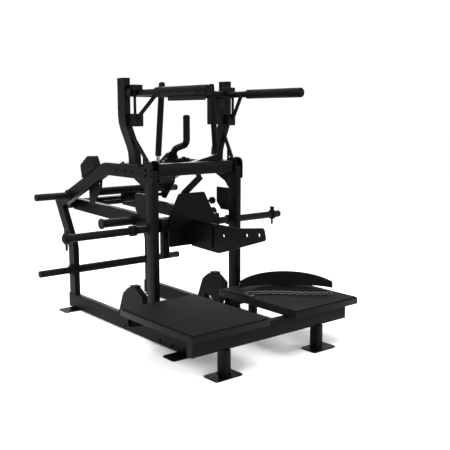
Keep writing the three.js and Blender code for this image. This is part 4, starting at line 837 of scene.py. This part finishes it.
def makeStitchTree():
    # short raised stitches, each along its own thread's way
    tree, given, out = growingTree("stitches", {"Long": 0.0030, "Thread": 0.0009})
    capsule = add(tree, "GeometryNodeMeshUVSphere", {"Segments": 6, "Rings": 4, "Radius": 0.5})
    shape = add(tree, "ShaderNodeCombineXYZ", {"X": given["Long"], "Y": given["Thread"], "Z": given["Thread"]})
    shaped = add(tree, "GeometryNodeTransform", {"Geometry": capsule.outputs["Mesh"], "Scale": shape.outputs[0]})
    aim = add(tree, "GeometryNodeInputNamedAttribute", {"Name": "aim"}, data_type="FLOAT_VECTOR")
    along = add(tree, "FunctionNodeAlignRotationToVector", {"Vector": aim.outputs[0]}, axis="X")
    laid = add(tree, "GeometryNodeInstanceOnPoints", {
        "Points": given["Places"], "Instance": shaped.outputs[0], "Rotation": along.outputs[0]})
    return endTree(tree, given, out, laid.outputs[0])


stitching = {"pitch": 4.6, "proud": 0.15, "edgeRows": (0.1, 0.9), "reach": 0.93}
stitchPlaces, stitchAims = [], []
steps = int(2 * belt["halfTurn"] * belt["radius"] * stitching["reach"] / stitching["pitch"])
for level in (*stitching["edgeRows"], *belt["channels"]):
    for side in (-1, 1):
        for k in range(steps + 1):
            share = stitching["reach"] * (-1 + 2 * k / steps)
            depth = side * (beltFull(share, level, side) + stitching["proud"])
            place, ahead = beltPlace(share, level, depth), beltPlace(share + 0.002, level, depth)
            stitchPlaces.append(place)
            stitchAims.append(tuple((Vector(ahead) - Vector(place)).normalized()))
grown("beltStitches", makeStitchTree(), pointPlaces("beltStitchPlaces", stitchPlaces, aim=stitchAims), "frame",
      seamThread, {})
print("stitches laid:", len(stitchPlaces))


def sweptWire(name, path, radius, closed=False, sides=12, flat=1.0):
    # a round or flattened wire through places in millimetres, kept from twisting
    count = len(path)
    way = [Vector(p) for p in path]
    points, faces = [], []
    up = Vector((0, 0, 1))
    for i, place in enumerate(way):
        after = way[(i + 1) % count] if closed or i + 1 < count else place
        before = way[i - 1] if closed or i > 0 else place
        ahead = (after - before).normalized()
        aside = ahead.cross(up)
        aside = aside.normalized() if aside.length > 1e-4 else Vector((1, 0, 0))
        over = aside.cross(ahead)
        for k in range(sides):
            angle = 2 * math.pi * k / sides
            around = aside * math.cos(angle) * radius + over * math.sin(angle) * radius * flat
            points.append(spot(*(place + around)))
    for i in range(count if closed else count - 1):
        near, far = i * sides, ((i + 1) % count) * sides
        for k in range(sides):
            faces.append((near + k, near + (k + 1) % sides, far + (k + 1) % sides, far + k))
    if not closed:
        faces += [tuple(range(sides)), tuple(range((count - 1) * sides, count * sides))]
    return meshPiece(name, points, faces, angle=50)


# Bound edges, the chain with its snap hook, and the rings at the belt's ends
binding = {"radius": 2.3, "steps": 150}
for name, level in (("beltBindingUpper", 0.985), ("beltBindingLower", 0.027)):
    path = [beltPlace(-0.985 + 1.97 * k / binding["steps"], level, 0) for k in range(binding["steps"] + 1)]
    settle(sweptWire(name, path, binding["radius"], sides=10, flat=0.9), "frame", gripRubber)

chain = {
    "x": 148, "y": 494, "pitch": 25.5, "links": 22, "wide": 25, "wire": 7, "ease": 2, "heading": math.radians(-39.9),
    "sway": math.radians(9), "under": 303.3, "hookLong": 82, "hookWide": 44, "hookWire": 9,
    "hookTurn": math.radians(-82),
}


def makeLinkTree():
    # one round wire bent to a link and closed by a weld, laid at each place with its own heading and tilt
    tree, given, out = growingTree("chainLinks", {"Long": 0.0375, "Wide": 0.025, "Wire": 0.007})
    inside = sum2(tree, "SUBTRACT", given["Wide"], given["Wire"])
    outline = add(tree, "GeometryNodeCurvePrimitiveQuadrilateral", {
        "Width": sum2(tree, "SUBTRACT", given["Long"], given["Wire"]), "Height": inside})
    bent = add(tree, "GeometryNodeFilletCurve", {
        "Curve": outline.outputs[0], "Count": 6, "Radius": half(tree, inside, 0.499)}, mode="POLY")
    section = add(tree, "GeometryNodeCurvePrimitiveCircle", {
        "Resolution": 10, "Radius": half(tree, given["Wire"], 0.49)})
    link = add(tree, "GeometryNodeCurveToMesh", {"Curve": bent.outputs[0], "Profile Curve": section.outputs[0]})
    bulge = add(tree, "GeometryNodeMeshUVSphere", {"Segments": 10, "Rings": 6, "Radius": 0.5})
    shape = add(tree, "ShaderNodeCombineXYZ", {
        "X": half(tree, given["Wire"], 0.7), "Y": half(tree, given["Wire"], 1.1),
        "Z": half(tree, given["Wire"], 1.1)})
    aside = add(tree, "ShaderNodeCombineXYZ", {"Y": half(tree, inside)})
    weld = add(tree, "GeometryNodeTransform", {
        "Geometry": bulge.outputs["Mesh"], "Scale": shape.outputs[0], "Translation": aside.outputs[0]})
    joined = tree.nodes.new("GeometryNodeJoinGeometry")
    tree.links.new(link.outputs[0], joined.inputs[0])
    tree.links.new(weld.outputs[0], joined.inputs[0])
    smooth = add(tree, "GeometryNodeSetShadeSmooth", {"Geometry": joined.outputs[0]})
    turn = add(tree, "GeometryNodeInputNamedAttribute", {"Name": "turn"}, data_type="FLOAT_VECTOR")
    facing = add(tree, "FunctionNodeEulerToRotation", {0: turn.outputs[0]})
    links = add(tree, "GeometryNodeInstanceOnPoints", {
        "Points": given["Places"], "Instance": smooth.outputs[0], "Rotation": facing.outputs[0]})
    return endTree(tree, given, out, links.outputs[0])


linkRise = chain["under"] + chain["wire"] / 2 + (chain["wide"] - chain["wire"]) / 2 * math.sqrt(0.5)
x, y, linkPlaces, linkTurns = chain["x"], chain["y"], [], []
for i in range(chain["links"]):
    heading = chain["heading"] + chain["sway"] * math.cos(2 * math.pi * i / chain["links"])
    linkPlaces.append((x, y, linkRise))
    linkTurns.append(((1 if i % 2 else -1) * math.pi / 4, 0, heading))
    x, y = x + chain["pitch"] * math.cos(heading), y + chain["pitch"] * math.sin(heading)
linkSpots = pointPlaces("linkPlaces", linkPlaces, turn=linkTurns)
chainLinks = grown("chainLinks", makeLinkTree(), linkSpots, "frame", chainSteel, {})
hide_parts("belt_chain")


def snapHook():
    # a bent wire ring with a spring gate, flat on the deck
    reach, straight = (chain["hookWide"] - chain["hookWire"]) / 2, (chain["hookLong"] - chain["hookWide"]) / 2
    ahead = Vector((math.cos(chain["hookTurn"]), math.sin(chain["hookTurn"]), 0))
    aside = Vector((-ahead.y, ahead.x, 0))
    hookReach = chain["hookLong"] / 2 - chain["hookWire"]
    linkLong = chain["pitch"] + 2 * chain["wire"] - chain["ease"]
    middle = Vector((chain["x"] - linkLong / 2 + chain["wire"], chain["y"], chain["under"] + chain["hookWire"] / 2))
    middle += ahead * hookReach
    path = []
    for turn, shift in ((-math.pi / 2, straight), (math.pi / 2, -straight)):
        for k in range(13):
            angle = turn + math.pi * k / 12
            path.append(middle + ahead * (shift + reach * math.cos(angle)) + aside * reach * math.sin(angle))
    ring = sweptWire("snapHookRing", path, chain["hookWire"] / 2 - 0.1, closed=True, sides=14)
    gate = [middle + aside * reach + ahead * (straight * t) for t in (-0.75, -0.7, 0.7, 0.75)]
    sleeve = sweptWire("snapHookGate", gate, chain["hookWire"] / 2 + 0.35, sides=14)
    for piece in (ring, sleeve):
        settle(piece, "frame", chainSteel)


snapHook()
ends = {"wire": 2.6, "half": 13, "deep": 9, "out": 2, "share": 0.985, "sides": 24}
for name, way in (("A", -1), ("B", 1)):
    share = ends["share"] * way
    place = Vector(beltPlace(share, 0.5, 0))
    ahead = (Vector(beltPlace(share + 0.01 * way, 0.5, 0)) - place).normalized()
    middle = place + ahead * ends["out"]
    loop = []
    for k in range(ends["sides"]):
        angle = 2 * math.pi * k / ends["sides"]
        loop.append(middle + Vector((0, 0, ends["half"] * math.sin(angle))) + ahead * ends["deep"] * math.cos(angle))
    settle(sweptWire(f"beltRing{name}", loop, ends["wire"], closed=True, sides=10), "frame", chainSteel)
print("chain, hook and rings made")


# Floor and close
floorSize = {"half": 40, "under": 0.0004}
floorMesh = bpy.data.meshes.new("floor")
h, z = floorSize["half"], -floorSize["under"]
floorMesh.from_pydata([(-h, -h, z), (h, -h, z), (h, h, z), (-h, h, z)], [], [(0, 1, 2, 3)])
floor = link(bpy.data.objects.new("floor", floorMesh))
floorPaint = finish("studioWhite", (0.985, 0.985, 0.985), (0.85, 0.95),
                    specular=0.1, grain=3.0, bump=0.0001, tone=0.02)
floor.data.materials.append(floorPaint)
